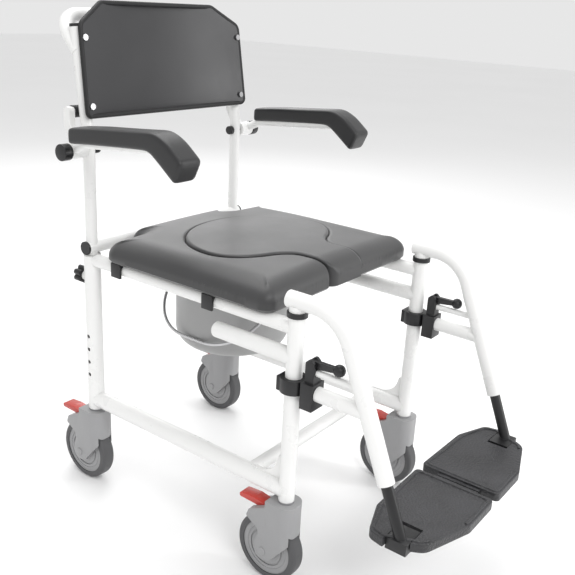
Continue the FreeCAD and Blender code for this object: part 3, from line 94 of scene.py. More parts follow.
class CommodeColours(bpy.types.PropertyGroup):
    """Colours of the chair's finishes."""

    tube_white: colour_setting("Tube white", "Powder coat on the frame", (0.80, 0.80, 0.79))
    seat_charcoal: colour_setting("Seat charcoal", "Moulded seat foam", (0.030, 0.030, 0.031))
    pad_black: colour_setting("Pad black", "Moulded arm pads", (0.010, 0.010, 0.011))
    back_charcoal: colour_setting("Back charcoal", "Moulded backrest", (0.028, 0.028, 0.030))
    moulding_black: colour_setting("Moulding black", "Latches and knobs", (0.008, 0.008, 0.009))
    caster_grey: colour_setting("Caster grey", "Hoods and wheel centres", (0.30, 0.30, 0.305))
    tread_grey: colour_setting("Tread grey", "Tyres", (0.075, 0.075, 0.078))
    pan_grey: colour_setting("Pan grey", "Commode pan", (0.32, 0.32, 0.32))
    plate_charcoal: colour_setting("Plate charcoal", "Footplates", (0.022, 0.022, 0.024))
    pedal_red: colour_setting("Pedal red", "Brake pedals", (0.50, 0.035, 0.022))


class CommodeShapes(bpy.types.PropertyGroup):
    """Sizes that the looks add to the frame."""

    seat_side_round: length_setting("Seat side round", "Width of the seat's side round", 52)
    seat_rear_round: length_setting("Seat rear round", "Width of the seat's rear round", 36)
    seat_front_round: length_setting("Seat front round", "Width of the front round", 40)
    seat_front_drop: length_setting("Seat front drop", "How far the front round falls", 28)
    seat_side_drop: length_setting("Seat side drop", "How far the side round falls", 27)
    seat_rear_drop: length_setting("Seat rear drop", "How far the rear round falls", 24)
    lid_edge_round: length_setting("Lid edge round", "Round of the lid's edge", 5)
    back_rim_round: length_setting("Backrest rim", "Radius of the backrest's rubber rim", 4.2)


def colours():
    return bpy.context.scene.commode_colours


def shapes():
    return bpy.context.scene.commode_shapes


# ---------------------------------------------------------------------------------------------
# Work on objects as by hand
# ---------------------------------------------------------------------------------------------


def deselect():
    if bpy.context.object and bpy.context.object.mode != "OBJECT":
        bpy.ops.object.mode_set(mode="OBJECT")
    bpy.ops.object.select_all(action="DESELECT")


def pick(piece):
    """Make one object the only selected and the active one."""
    deselect()
    piece.hide_viewport = False
    piece.select_set(True)
    bpy.context.view_layer.objects.active = piece
    return piece


def added(name):
    """Name the primitive that was just added and set its place into its mesh."""
    piece = bpy.context.object
    piece.name = name
    piece.data.name = name
    bpy.ops.object.transform_apply(location=True, rotation=True, scale=True)
    return piece


def tidy_mesh(piece, distance=1e-5):
    """Merge doubles and turn the faces outwards."""
    pick(piece)
    bpy.ops.object.mode_set(mode="EDIT")
    bpy.ops.mesh.select_all(action="SELECT")
    bpy.ops.mesh.remove_doubles(threshold=distance)
    bpy.ops.mesh.normals_make_consistent(inside=False)
    bpy.ops.object.mode_set(mode="OBJECT")
    return piece


def finish_with(piece, kind, **settings):
    """Add a modifier, set it and apply it."""
    pick(piece)
    modifier = piece.modifiers.new(kind.title(), kind)
    for name, value in settings.items():
        setattr(modifier, name, value)
    bpy.ops.object.modifier_apply(modifier=modifier.name)
    return piece


def smooth(piece, angle=40.0):
    """Shade a piece smooth, with edges kept where it turns by more than the angle."""
    pick(piece)
    bpy.ops.object.shade_smooth_by_angle(angle=math.radians(angle))
    return piece


def dress(piece, material, body, slot, *nodes):
    """Give a piece its material and its body, and hide the CAD nodes that it stands for. The
    slot is not used.
    """
    piece.data.materials.clear()
    piece.data.materials.append(material)
    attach(piece, body)
    if nodes:
        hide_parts(*nodes)
    return piece


def wrapped_grid(name, table):
    """A grid whose rows are laid on the table's points, then closed and turned outwards."""
    rows, columns = table.shape[:2]
    deselect()
    bpy.ops.mesh.primitive_grid_add(x_subdivisions=columns - 1, y_subdivisions=rows - 1, size=1)
    piece = added(name)
    if len(piece.data.vertices) != rows * columns:
        raise RuntimeError("%s: the grid has the wrong number of points" % name)
    piece.data.vertices.foreach_set("co", table.reshape(-1).astype(np.float32))
    piece.data.update()
    tidy_mesh(piece)
    return smooth(piece)


def swept_ring(name, points, radius, sides=10, closed=True, flatten=1.0):
    """A round bar along points; flatten squeezes it along the second axis."""
    points = np.array(points)
    count = len(points)
    ahead = np.roll(points, -1, axis=0) - np.roll(points, 1, axis=0)
    if not closed:
        ahead[0] = points[1] - points[0]
        ahead[-1] = points[-1] - points[-2]
    ahead /= np.linalg.norm(ahead, axis=1)[:, None]
    guide = np.eye(3)[np.abs(ahead).max(axis=0).argmin()]
    across = np.cross(ahead, guide)
    across /= np.linalg.norm(across, axis=1)[:, None]
    upward = np.cross(across, ahead)
    turns = np.linspace(0, 2 * math.pi, sides + 1)
    order = list(range(count)) + ([0] if closed else [])
    table = np.zeros((len(order), sides + 1, 3))
    for row, index in enumerate(order):
        for column, turn in enumerate(turns):
            table[row, column] = (points[index] + across[index] * radius * math.cos(turn)
                                  + upward[index] * radius * flatten * math.sin(turn))
    if not closed:
        first = np.repeat(points[0][None, None], sides + 1, axis=1)
        last = np.repeat(points[-1][None, None], sides + 1, axis=1)
        table = np.concatenate([first, table, last])
    return wrapped_grid(name, table)


# ---------------------------------------------------------------------------------------------
# Outlines and distances
# ---------------------------------------------------------------------------------------------


def rounded_outline(corners, steps=12):
    """Points of a closed outline whose corners (x, y, radius) are rounded by arcs."""
    points = []
    count = len(corners)
    for index in range(count):
        here = np.array(corners[index][:2], float)
        radius = corners[index][2]
        before = np.array(corners[index - 1][:2], float) - here
        after = np.array(corners[(index + 1) % count][:2], float) - here
        before /= np.linalg.norm(before)
        after /= np.linalg.norm(after)
        if radius < 1e-6:
            points.append(here)
            continue
        half = math.acos(np.clip(before @ after, -1, 1)) / 2
        reach = radius / math.tan(half)
        middle = (before + after) / np.linalg.norm(before + after)
        centre = here + middle * radius / math.sin(half)
        start = here + before * reach - centre
        end = here + after * reach - centre
        sweep = math.acos(np.clip(start @ end / radius ** 2, -1, 1))
        for step in range(steps + 1):
            share = step / steps
            a = math.sin((1 - share) * sweep) / math.sin(sweep)
            b = math.sin(share * sweep) / math.sin(sweep)
            points.append(centre + start * a + end * b)
    return np.array(points)


def reach_of_rays(outline, centre, angles, closed=True):
    """How far each ray from the centre runs before it leaves the outline."""
    starts = outline - centre
    ends = np.roll(starts, -1, axis=0)
    if not closed:
        starts, ends = starts[:-1], ends[:-1]
    found = np.zeros(len(angles))
    for index, angle in enumerate(angles):
        ray = np.array([math.cos(angle), math.sin(angle)])
        span = ends - starts
        cross = ray[0] * span[:, 1] - ray[1] * span[:, 0]
        cross[np.abs(cross) < 1e-12] = 1e-12
        along = (starts[:, 0] * span[:, 1] - starts[:, 1] * span[:, 0]) / cross
        share = (starts[:, 0] * ray[1] - starts[:, 1] * ray[0]) / cross
        good = (share >= -1e-6) & (share <= 1 + 1e-6) & (along > 1e-6)
        found[index] = along[good].max() if good.any() else 0.0
    return found


def distance_to(outline, points, closed=True):
    """Distance of each point to an outline, and the direction to its nearest place."""
    starts = outline
    ends = np.roll(outline, -1, axis=0)
    if not closed:
        starts, ends = starts[:-1], ends[:-1]
    span = ends - starts
    length = (span ** 2).sum(1)
    length[length < 1e-18] = 1e-18
    best = np.full(len(points), 1e9)
    away = np.zeros((len(points), 2))
    for index in range(len(starts)):
        share = np.clip(((points - starts[index]) @ span[index]) / length[index], 0, 1)
        nearest = starts[index] + share[:, None] * span[index]
        gap = nearest - points
        size = np.linalg.norm(gap, axis=1)
        closer = size < best
        best[closer] = size[closer]
        away[closer] = gap[closer]
    return best, away / np.maximum(best, 1e-9)[:, None]


def quarter_round(distance, width, drop):
    """Height lost near an edge that is rounded by a quarter of an ellipse."""
    share = np.clip(distance / np.maximum(width, 1e-9), 0, 1)
    return drop * (1 - np.sqrt(np.clip(1 - (1 - share) ** 2, 0, 1)))


# ---------------------------------------------------------------------------------------------
# Materials
# ---------------------------------------------------------------------------------------------


def new_material(name):
    """A material with its node tree, its shader and a place on the piece for textures."""
    material = bpy.data.materials.new(name)
    material.use_nodes = True
    nodes = material.node_tree.nodes
    shader = nodes["Principled BSDF"]
    place = nodes.new("ShaderNodeTexCoord")
    return material, material.node_tree, shader, place


def noise_of(tree, place, scale, detail=4.0, roughness=0.55):
    node = tree.nodes.new("ShaderNodeTexNoise")
    node.inputs["Scale"].default_value = scale
    node.inputs["Detail"].default_value = detail
    node.inputs["Roughness"].default_value = roughness
    tree.links.new(place.outputs["Object"], node.inputs["Vector"])
    return node


def spread(tree, source, low, high):
    """Map a texture's middle range to a range of values."""
    node = tree.nodes.new("ShaderNodeMapRange")
    node.inputs["From Min"].default_value = 0.3
    node.inputs["From Max"].default_value = 0.7
    node.inputs["To Min"].default_value = low
    node.inputs["To Max"].default_value = high
    tree.links.new(source, node.inputs["Value"])
    return node.outputs["Result"]


def shaded(tree, factor, first, second):
    """Mix two colours by a texture."""
    node = tree.nodes.new("ShaderNodeMix")
    node.data_type = "RGBA"
    node.inputs["A"].default_value = (*first, 1.0)
    node.inputs["B"].default_value = (*second, 1.0)
    tree.links.new(factor, node.inputs["Factor"])
    return node.outputs["Result"]


def add_bump(tree, shader, heights):
    """Chain bumps, each (height socket, strength, depth in metres)."""
    normal = None
    for height, strength, depth in heights:
        node = tree.nodes.new("ShaderNodeBump")
        node.inputs["Strength"].default_value = strength
        node.inputs["Distance"].default_value = depth
        tree.links.new(height, node.inputs["Height"])
        if normal is not None:
            tree.links.new(normal, node.inputs["Normal"])
        normal = node.outputs["Normal"]
    tree.links.new(normal, shader.inputs["Normal"])


def scaled(colour, factor):
    """A colour made darker or lighter."""
    return tuple(min(1.0, c * factor) for c in colour)


def plain_finish(name, colour, roughness, grain_scale, grain_depth, change=0.12, spread_by=0.06,
                 metallic=0.0, coat=0.0, cloud_scale=9.0):
    """Finish with a cloudy change of tone, uneven gloss and a fine grain."""
    material, tree, shader, place = new_material(name)
    cloud = noise_of(tree, place, cloud_scale, 5.0)
    grain = noise_of(tree, place, grain_scale, 3.0)
    tone = shaded(tree, cloud.outputs["Fac"], scaled(colour, 1 - change),
                  scaled(colour, 1 + change))
    tree.links.new(tone, shader.inputs["Base Color"])
    gloss = spread(tree, cloud.outputs["Fac"], roughness - spread_by, roughness + spread_by)
    tree.links.new(gloss, shader.inputs["Roughness"])
    shader.inputs["Metallic"].default_value = metallic
    shader.inputs["Coat Weight"].default_value = coat
    shader.inputs["Coat Roughness"].default_value = 0.15
    add_bump(tree, shader, [(grain.outputs["Fac"], 0.35, grain_depth)])
    return material


def powder_coat():
    """White powder coat: satin gloss with a faint orange-peel surface and slight soiling."""
    return plain_finish("powder_coat_white", colours().tube_white, 0.30, 420.0, 0.00012,
                        change=0.025, spread_by=0.05, coat=0.25, cloud_scale=14.0)


def leather_grain(name, colour, roughness, grain_scale, sheen):
    """Skin of moulded foam: fine pebble grain over a slow unevenness."""
    material, tree, shader, place = new_material(name)
    cloud = noise_of(tree, place, 7.0, 5.0)
    pebble = tree.nodes.new("ShaderNodeTexVoronoi")
    pebble.feature = "SMOOTH_F1"
    pebble.inputs["Scale"].default_value = grain_scale
    tree.links.new(place.outputs["Object"], pebble.inputs["Vector"])
    swell = noise_of(tree, place, 28.0, 2.0)
    tone = shaded(tree, cloud.outputs["Fac"], scaled(colour, 0.82), scaled(colour, 1.2))
    tree.links.new(tone, shader.inputs["Base Color"])
    gloss = spread(tree, cloud.outputs["Fac"], roughness - 0.05, roughness + 0.07)
    tree.links.new(gloss, shader.inputs["Roughness"])
    shader.inputs["Sheen Weight"].default_value = sheen
    shader.inputs["Sheen Roughness"].default_value = 0.45
    add_bump(tree, shader, [(pebble.outputs["Distance"], 0.30, 0.00022),
                            (swell.outputs["Fac"], 0.15, 0.0006)])
    return material


def tread_plate():
    """Footplate: a cast pebble texture that wears lighter on its high spots."""
    material, tree, shader, place = new_material("plate_texture")
    colour = colours().plate_charcoal
    cells = tree.nodes.new("ShaderNodeTexVoronoi")
    cells.feature = "F1"
    cells.inputs["Scale"].default_value = 230.0
    tree.links.new(place.outputs["Object"], cells.inputs["Vector"])
    wear = noise_of(tree, place, 16.0, 6.0, 0.65)
    tone = shaded(tree, spread(tree, wear.outputs["Fac"], 0.0, 1.0), scaled(colour, 0.75),
                  scaled(colour, 1.9))
    tree.links.new(tone, shader.inputs["Base Color"])
    gloss = spread(tree, wear.outputs["Fac"], 0.32, 0.58)
    tree.links.new(gloss, shader.inputs["Roughness"])
    fine = noise_of(tree, place, 900.0, 2.0)
    add_bump(tree, shader, [(cells.outputs["Distance"], 0.8, 0.0012),
                            (fine.outputs["Fac"], 0.2, 0.0001)])
    return material


FINISHES = {}


def make_finishes():
    c = colours()
    FINISHES.update({
        "white": powder_coat(),
        "seat": leather_grain("seat_skin", c.seat_charcoal, 0.42, 900.0, 0.25),
        "pad": leather_grain("pad_skin", c.pad_black, 0.46, 950.0, 0.15),
        "back": leather_grain("back_skin", c.back_charcoal, 0.34, 1000.0, 0.1),
        "black": plain_finish("moulded_black", c.moulding_black, 0.38, 700.0, 0.00015, 0.3),
        "rubber": plain_finish("edge_rubber", scaled(c.moulding_black, 0.9), 0.55, 800.0,
                               0.0001, 0.25),
        "grey": plain_finish("moulded_grey", c.caster_grey, 0.42, 600.0, 0.00018, 0.08),
        "tread": plain_finish("tread_grey", c.tread_grey, 0.55, 500.0, 0.0002, 0.15),
        "pan": plain_finish("pan_grey", c.pan_grey, 0.36, 500.0, 0.00015, 0.06),
        "plate": tread_plate(),
        "red": plain_finish("pedal_red", c.pedal_red, 0.30, 500.0, 0.00012, 0.12, coat=0.3),
        "light": plain_finish("bush_grey", (0.52, 0.52, 0.51), 0.45, 600.0, 0.0001, 0.06),
        "steel": plain_finish("bright_steel", (0.56, 0.56, 0.57), 0.28, 900.0, 0.00008, 0.08,
                              metallic=1.0),
    })


NODE_FINISH = {
    "white": ["rear_legs", "front_legs", "lower_side_rails", "seat_rails", "stub_rails",
              "front_cross_tube", "leg_gussets", "pan_runners", "back_canes",
              "back_cross_tube", "push_handle", "arm_tube_left", "arm_tube_right",
              "hanger_tube_left", "hanger_tube_right", "hanger_brace_left",
              "hanger_brace_right"],
    "black": ["hinge_bushes", "tube_plugs"],
    "rubber": ["arm_bumper_left", "arm_bumper_right"],
    "light": ["cane_bushes"],
    "steel": ["caster_stems", "backrest_screws", "pan_bail"],
    "pan": ["commode_pan"],
    "plate": ["footplate_left", "footplate_right"],
}


MOULDINGS = (
    # name, edge round in millimetres
    ("latch_brackets", 1.6),
    ("seat_clips", 1.0),
    ("arm_pivots", 1.6),
    ("back_knob_left", 1.2),
    ("back_knob_right", 1.2),
    ("latch_housing_left", 2.0),
    ("latch_housing_right", 2.0),
    ("latch_lever_left", 1.2),
    ("latch_lever_right", 1.2),
    ("footrest_stem_left", 1.5),
    ("footrest_stem_right", 1.5),
)


def finish_node(name, key):
    node = NODES[name]
    node.data.materials.clear()
    node.data.materials.append(FINISHES[key])


def body_of(node):
    return NODES[node]["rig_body"]


# ---------------------------------------------------------------------------------------------
# Seat and lid
# ---------------------------------------------------------------------------------------------
SEAT_LOW, SEAT_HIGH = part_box("seat")
LID_LOW, LID_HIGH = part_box("seat_lid")
SEAT_FRONT, SEAT_REAR = SEAT_LOW.y, SEAT_HIGH.y
SEAT_SIDE = SEAT_HIGH.x
WING_REAR = SEAT_REAR - 37 * MM  # the wings beside the canes end here
TAIL_SIDE = 125 * MM  # half width of the tail between the canes
CORNER_WIDE, CORNER_CLOSE = 24 * MM, 16 * MM  # rounds of the outline's corners
BASE_ROUND = 5 * MM  # where the sides meet the underside
RIM_WIDTH, RIM_DROP = 6 * MM, 5 * MM  # round of the keyhole's rim
LID_GAP = 2.5 * MM
NECK_SIDE = 48 * MM
LID_SIDE = LID_HIGH.x + LID_GAP
OVAL_REAR = 140 * MM
OVAL_FRONT = 100 * MM
OVAL_MIDDLE = LID_HIGH.y + LID_GAP - 130 * MM
OVAL_BLEND = 34 * MM  # how far the oval's front runs out into the neck
LEDGE_Z = SEAT_HIGH.z - 26 * MM  # the lid rests here
LEDGE_FROM = 2 * MM  # the ledge starts this far outside the neck
LEDGE_LEAST = 4 * MM
LOBE_ROUND = 7 * MM
TONGUE_ROUND = 22 * MM
APERTURE_Y = JOINTS["arm_swing_left"]["pos_m"][1] - 221 * MM
APERTURE_RADIUS = 92 * MM
LID_STAND = 2.5 * MM
LID_SETBACK = 1.5 * MM  # from the seat's front to the tongue's
LID_CLEAR = 0.5 * MM  # under the lid
LID_UNDER_ROUND = 2 * MM
FAR_SEAM = 1.6 * MM  # the lid's left edge reaches out, and closes its seam
TONGUE_END = 24 * MM  # the tongue goes on this far past the oval's front


def seat_outline():
    """The seat in plan: a straight front and sides, and a tail between the canes."""
    wide, close = CORNER_WIDE, CORNER_CLOSE
    front = [(-SEAT_SIDE, SEAT_FRONT, wide), (SEAT_SIDE, SEAT_FRONT, wide)]
    right = [(SEAT_SIDE, WING_REAR, wide), (TAIL_SIDE, WING_REAR, close),
             (TAIL_SIDE, SEAT_REAR, close)]
    left = [(-x, y, radius) for x, y, radius in reversed(right)]
    return rounded_outline(front + right + left)


def keyhole_half(inset, front_y, round_x):
    """Half of the keyhole from the mouth of its neck round to the rear.

    The mouth is rounded outwards by a positive round_x and inwards by a negative one."""
    neck = NECK_SIDE - inset
    turns = np.linspace(-math.pi / 2, math.pi / 2, 181)
    reach = np.where(turns > 0, OVAL_REAR, OVAL_FRONT) - inset
    oval = np.stack([(LID_SIDE - inset) * np.cos(turns), reach * np.sin(turns)], axis=1)
    keep = [p for p in oval if p[1] > 0 or p[0] > neck + OVAL_BLEND]
    corner = np.array([neck, keep[0][1] - 0.55 * OVAL_BLEND])
    straight = corner - (0, 0.75 * OVAL_BLEND)
    blend = []
    for share in np.linspace(0, 1, 16):
        first = (1 - share) ** 2
        second = 2 * share * (1 - share)
        blend.append(first * straight + second * corner + share ** 2 * keep[0])
    mouth = []
    for turn in np.linspace(0, math.pi / 2, 10):
        mouth.append(np.array([neck + round_x * (1 - math.sin(turn)),
                               front_y - OVAL_MIDDLE + abs(round_x) * (1 - math.cos(turn))]))
    if round_x == 0.0:
        mouth = mouth[:1]
    return mouth + [p for p in blend if p[1] > mouth[-1][1]] + keep[1:]


def keyhole_outline(inset, front_y, near_round):
    """Open outline of the keyhole, from the left of its neck round the oval to the right."""
    plain = keyhole_half(inset, front_y, 0.0)
    rounded = keyhole_half(inset, front_y, near_round)
    whole = plain + [np.array([-x, y]) for x, y in reversed(rounded)]
    return np.array(whole) + (0, OVAL_MIDDLE)


CROWN_RISE = 1.5 * MM
CROWN_SIDE_FALL = 5 * MM
CROWN_REAR_FALL = 8 * MM


def crown(points):
    """Height of the seat's top before its edges fall away."""
    x, y = points[:, 0], points[:, 1]
    across = (np.abs(x) / SEAT_SIDE) ** 2
    middle = (SEAT_FRONT + SEAT_REAR) / 2
    along = (y - middle) / (SEAT_REAR - SEAT_FRONT)
    rear = np.clip(2 * along, 0, 1) ** 2
    return SEAT_HIGH.z + CROWN_RISE - CROWN_SIDE_FALL * across - CROWN_REAR_FALL * rear


def edge_fall(points, outline):
    """Height lost towards the seat's outer edge, gentle at the sides and tighter in front."""
    s = shapes()
    gap, towards = distance_to(outline, points)
    side = towards[:, 0] ** 2
    end = np.where(towards[:, 1] > 0, s.seat_rear_round, s.seat_front_round)
    width = side * s.seat_side_round + (1 - side) * end
    end_drop = np.where(towards[:, 1] > 0, s.seat_rear_drop, s.seat_front_drop)
    drop = side * s.seat_side_drop + (1 - side) * end_drop
    return quarter_round(gap, width, drop)


def shares_from_edge(width, near, far, near_steps, middle_steps, far_steps):
    """Shares of a width, crowded towards both edges."""
    near = min(near, width * 0.55)
    far = min(far, width * 0.25)
    first = near * (1 - np.cos(np.linspace(0, math.pi / 2, near_steps)))
    middle = np.linspace(near, width - far, middle_steps + 1)[1:-1]
    last = width - far * (1 - np.sin(np.linspace(0, math.pi / 2, far_steps)))
    return np.concatenate([first, middle, last]) / width


def make_seat():
    """Horseshoe cushion, made as a closed section carried round from one lobe to the other."""
    centre = np.array([0.0, OVAL_MIDDLE])
    outer = seat_outline()
    inner = keyhole_outline(0.0, SEAT_FRONT - 1e-4, LOBE_ROUND)
    front = SEAT_FRONT - OVAL_MIDDLE
    start = math.atan2(front, NECK_SIDE)
    end = math.pi - math.atan2(front, NECK_SIDE + LOBE_ROUND)
    angles = np.linspace(start + 1e-4, end - 1e-4, 640)
    outer_reach = reach_of_rays(outer, centre, angles)
    inner_reach = reach_of_rays(inner, centre, angles, closed=False)
    rows = []
    for angle, far, near in zip(angles, outer_reach, inner_reach):
        ray = np.array([math.cos(angle), math.sin(angle)])
        width = max(far - near, 1e-4)
        shares = shares_from_edge(width, 70 * MM, 8 * MM, 14, 8, 7)
        plan = centre + ray * (far - width * shares)[:, None]
        rows.append((plan, ray, far, near))
    flat = np.concatenate([row[0] for row in rows])
    heights = crown(flat) - edge_fall(flat, outer)
    gap, _ = distance_to(inner, flat, closed=False)
    heights = heights - quarter_round(gap, RIM_WIDTH, RIM_DROP)
    count = len(rows[0][0])
    heights = heights.reshape(len(rows), count)
    table = []
    base = SEAT_LOW.z
    for row, (plan, ray, far, near) in enumerate(rows):
        ledge = abs(centre[0] + ray[0] * near) > NECK_SIDE + LEDGE_FROM or ray[1] > 0
        hole = near
        if ledge:
            b = ray @ (centre - np.array([0.0, APERTURE_Y]))
            c = (centre[1] - APERTURE_Y) ** 2 - APERTURE_RADIUS ** 2
            hole = min(near - LEDGE_LEAST, -b + math.sqrt(max(b * b - c, 0)))
        ledge_z = LEDGE_Z if ledge else base + BASE_ROUND
        side = [(far - BASE_ROUND, base), (far, base + BASE_ROUND)]
        inside = [(near, ledge_z), (hole, ledge_z), (hole, base + BASE_ROUND * 0.4),
                  (min(hole + BASE_ROUND, far - BASE_ROUND), base)]
        line = [(*(centre + ray * reach), z) for reach, z in side]
        line += [(*plan[i], heights[row, i]) for i in range(count)]
        line += [(*(centre + ray * reach), z) for reach, z in inside]
        table.append(line + line[:1])
    piece = wrapped_grid("seat_cushion", np.array(table))
    tidy_mesh(piece, 5e-5)
    smooth(piece, 85)
    dress(piece, FINISHES["seat"], "seat", "seat_foam", "seat")
    return piece


def make_lid():
    """Crowned keyhole lid with a tongue that fills the neck."""
    front = SEAT_FRONT - LID_SETBACK
    outline = keyhole_outline(LID_GAP, front, -TONGUE_ROUND)
    outline[:, 0] += np.where(outline[:, 0] > 0, FAR_SEAM, 0.0)
    centre = np.array([0.0, OVAL_MIDDLE])
    corner = math.atan2(front - OVAL_MIDDLE, NECK_SIDE - LID_GAP)
    angles = np.concatenate([np.linspace(corner, math.pi - corner, 520),
                             np.linspace(math.pi - corner, 2 * math.pi + corner, 64)[1:]])
    reach = reach_of_rays(outline, centre, angles)
    shares = np.concatenate([np.linspace(0, 0.9, 22),
                             0.9 + 0.1 * np.sin(np.linspace(0, math.pi / 2, 12))[1:]])
    flat = []
    for angle, far in zip(angles, reach):
        ray = np.array([math.cos(angle), math.sin(angle)])
        flat.append(centre + ray * (far * shares)[:, None])
    flat = np.concatenate(flat)
    s = shapes()
    gap, _ = distance_to(outline, flat, closed=False)
    heights = crown(flat) + LID_STAND - quarter_round(gap, s.lid_edge_round,
                                                      s.lid_edge_round * 0.8)
    heights = heights - quarter_round(flat[:, 1] - front, s.seat_front_round, s.seat_front_drop)
    heights = heights.reshape(len(angles), len(shares))
    flat = flat.reshape(len(angles), len(shares), 2)
    table = []
    under_shares = (1.0, 0.985, 0.9, 0.6, 0.0)
    for row, (angle, far) in enumerate(zip(angles, reach)):
        ray = np.array([math.cos(angle), math.sin(angle)])
        line = [(*flat[row, i], heights[row, i]) for i in range(len(shares))]
        for share in under_shares:
            place = centre + ray * far * share
            neck = place[1] < OVAL_MIDDLE - OVAL_FRONT + TONGUE_END
            bottom = (LID_LOW.z if neck else LEDGE_Z) + LID_CLEAR
            line.append((*place, bottom + (LID_UNDER_ROUND if share == 1.0 else 0)))
        table.append(line)
    table.append(table[0])
    piece = wrapped_grid("seat_lid_pad", np.array(table))
    tidy_mesh(piece, 5e-5)
    smooth(piece, 75)
    dress(piece, FINISHES["seat"], "lid", "seat_foam", "seat_lid")
    return piece


# ---------------------------------------------------------------------------------------------
# Arm pads and backrest
# ---------------------------------------------------------------------------------------------


def curve_through(points, count):
    """Smooth line through points, evenly shared."""
    points = np.array(points, float)
    steps = np.linalg.norm(np.diff(points, axis=0), axis=1)
    at = np.concatenate([[0], np.cumsum(steps)]) / steps.sum()
    wanted = np.linspace(0, 1, count)
    return np.stack([np.interp(wanted, at, points[:, k]) for k in range(points.shape[1])], 1)


def soften_line(line, times):
    """Round the corners of a line by averaging, with its ends held."""
    for _ in range(times):
        line[1:-1] = (line[:-2] + 2 * line[1:-1] + line[2:]) / 4
    return line


# The pad's top and bottom lines in millimetres, from its rear (forward is negative) and from
# the height of the arm's pivot
PAD_TOP = ((0, 48), (-60, 55), (-150, 62.5), (-208, 68), (-236, 56), (-271, 28))
PAD_BOTTOM = ((0, 20), (-60, 26), (-150, 33), (-194, 36), (-216, 20), (-254, -9))
PAD_RINGS, PAD_SIDES = 64, 40
PAD_LENGTH = 270 * MM  # along the pad, for the round of its ends
PAD_END_ROUND = 6 * MM
PAD_END_WIDTH, PAD_END_HEIGHT = 0.84, 0.76  # shares that are left at its ends
PAD_WAIST = 0.04
PAD_SQUARENESS = 0.34  # 1 is an ellipse, and 0 a box


def squared(value):
    """A sine or cosine pushed out towards a box's side."""
    return math.copysign(abs(value) ** PAD_SQUARENESS, value)


def make_arm_pad(side, sign):
    """Arm pad: rounded sections carried along its bent line, with softened ends."""
    low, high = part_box("arm_pad_" + side)
    rear = high.y
    pivot_z = JOINTS["arm_swing_" + side]["pos_m"][2]
    tops = soften_line(curve_through(PAD_TOP, PAD_RINGS), 8)
    bottoms = soften_line(curve_through(PAD_BOTTOM, PAD_RINGS), 8)
    middle_x = (low.x + high.x) / 2
    half_width = (high.x - low.x) / 2
    turns = np.linspace(0, 2 * math.pi, PAD_SIDES + 1)
    table = []
    for index in range(PAD_RINGS):
        share = index / (PAD_RINGS - 1)
        end_gap = min(share, 1 - share) * PAD_LENGTH
        squeeze = math.sqrt(max(0.0, 1 - (1 - min(end_gap / PAD_END_ROUND, 1)) ** 2))
        waist = 1 - PAD_WAIST * math.sin(share * math.pi) ** 2
        centre = (tops[index] + bottoms[index]) / 2
        up = (tops[index] - bottoms[index]) / 2
        wide = half_width * waist * (PAD_END_WIDTH + (1 - PAD_END_WIDTH) * squeeze)
        tall = PAD_END_HEIGHT + (1 - PAD_END_HEIGHT) * squeeze
        ring = []
        for turn in turns:
            across, along = squared(math.cos(turn)), squared(math.sin(turn))
            y = rear + (centre[0] + up[0] * along * tall) * MM
            z = pivot_z + (centre[1] + up[1] * along * tall) * MM
            ring.append((middle_x + sign * across * wide, y, z))
        table.append(ring)
    table = np.array(table)
    ends = [np.repeat(table[k].mean(0)[None, None], PAD_SIDES + 1, axis=1) for k in (0, -1)]
    table = np.concatenate([ends[0], table, ends[1]])
    piece = wrapped_grid("arm_rest_" + side, table)
    finish_with(piece, "SUBSURF", levels=1, render_levels=1)
    smooth(piece, 60)
    dress(piece, FINISHES["pad"], "arm_" + side, "arm_foam", "arm_pad_" + side)
    return piece


CANE_LEAN = math.radians(7.0)
CANE_RADIUS = 11 * MM
CANE_GAP = 1.4 * MM  # between the canes and the panel
CANE_BEND_Z = 700 * MM
CANE_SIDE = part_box("back_canes")[1].x - CANE_RADIUS
BACK_DISH = 28 * MM
BACK_THICKNESS = 7 * MM
BACK_REAR_SKIN = 0.2 * MM
BACK_HEIGHTS = (745 * MM, 900 * MM, 938 * MM)  # bottom, shoulders and top, off the floor
BACK_SIDES = (212 * MM, 206 * MM, 144 * MM)  # half widths at those heights
BACK_ROUNDS = (9 * MM, 16 * MM, 16 * MM)


def back_point(x, depth, rise):
    """A point given in the backrest's own leaning frame, from the bend of the canes."""
    rear_y = JOINTS["arm_swing_left"]["pos_m"][1]
    return (x, rear_y + depth * math.cos(CANE_LEAN) + rise * math.sin(CANE_LEAN),
            CANE_BEND_Z + rise * math.cos(CANE_LEAN) - depth * math.sin(CANE_LEAN))


def back_depth(x):
    """Depth of the panel's rear: an arc that leaves the canes and bows to the rear."""
    radius = (CANE_SIDE ** 2 + BACK_DISH ** 2) / (2 * BACK_DISH)
    return BACK_DISH - radius + math.sqrt(radius ** 2 - x ** 2) - CANE_RADIUS - CANE_GAP


def back_outline():
    """The panel's outline, wide at the bottom and cut off at its top corners."""
    rises = [(z - CANE_BEND_Z) / math.cos(CANE_LEAN) for z in BACK_HEIGHTS]
    corners = list(zip(BACK_SIDES, rises, BACK_ROUNDS))
    mirrored = [(-x, y, r) for x, y, r in reversed(corners)]
    return rounded_outline(corners + mirrored, 8)


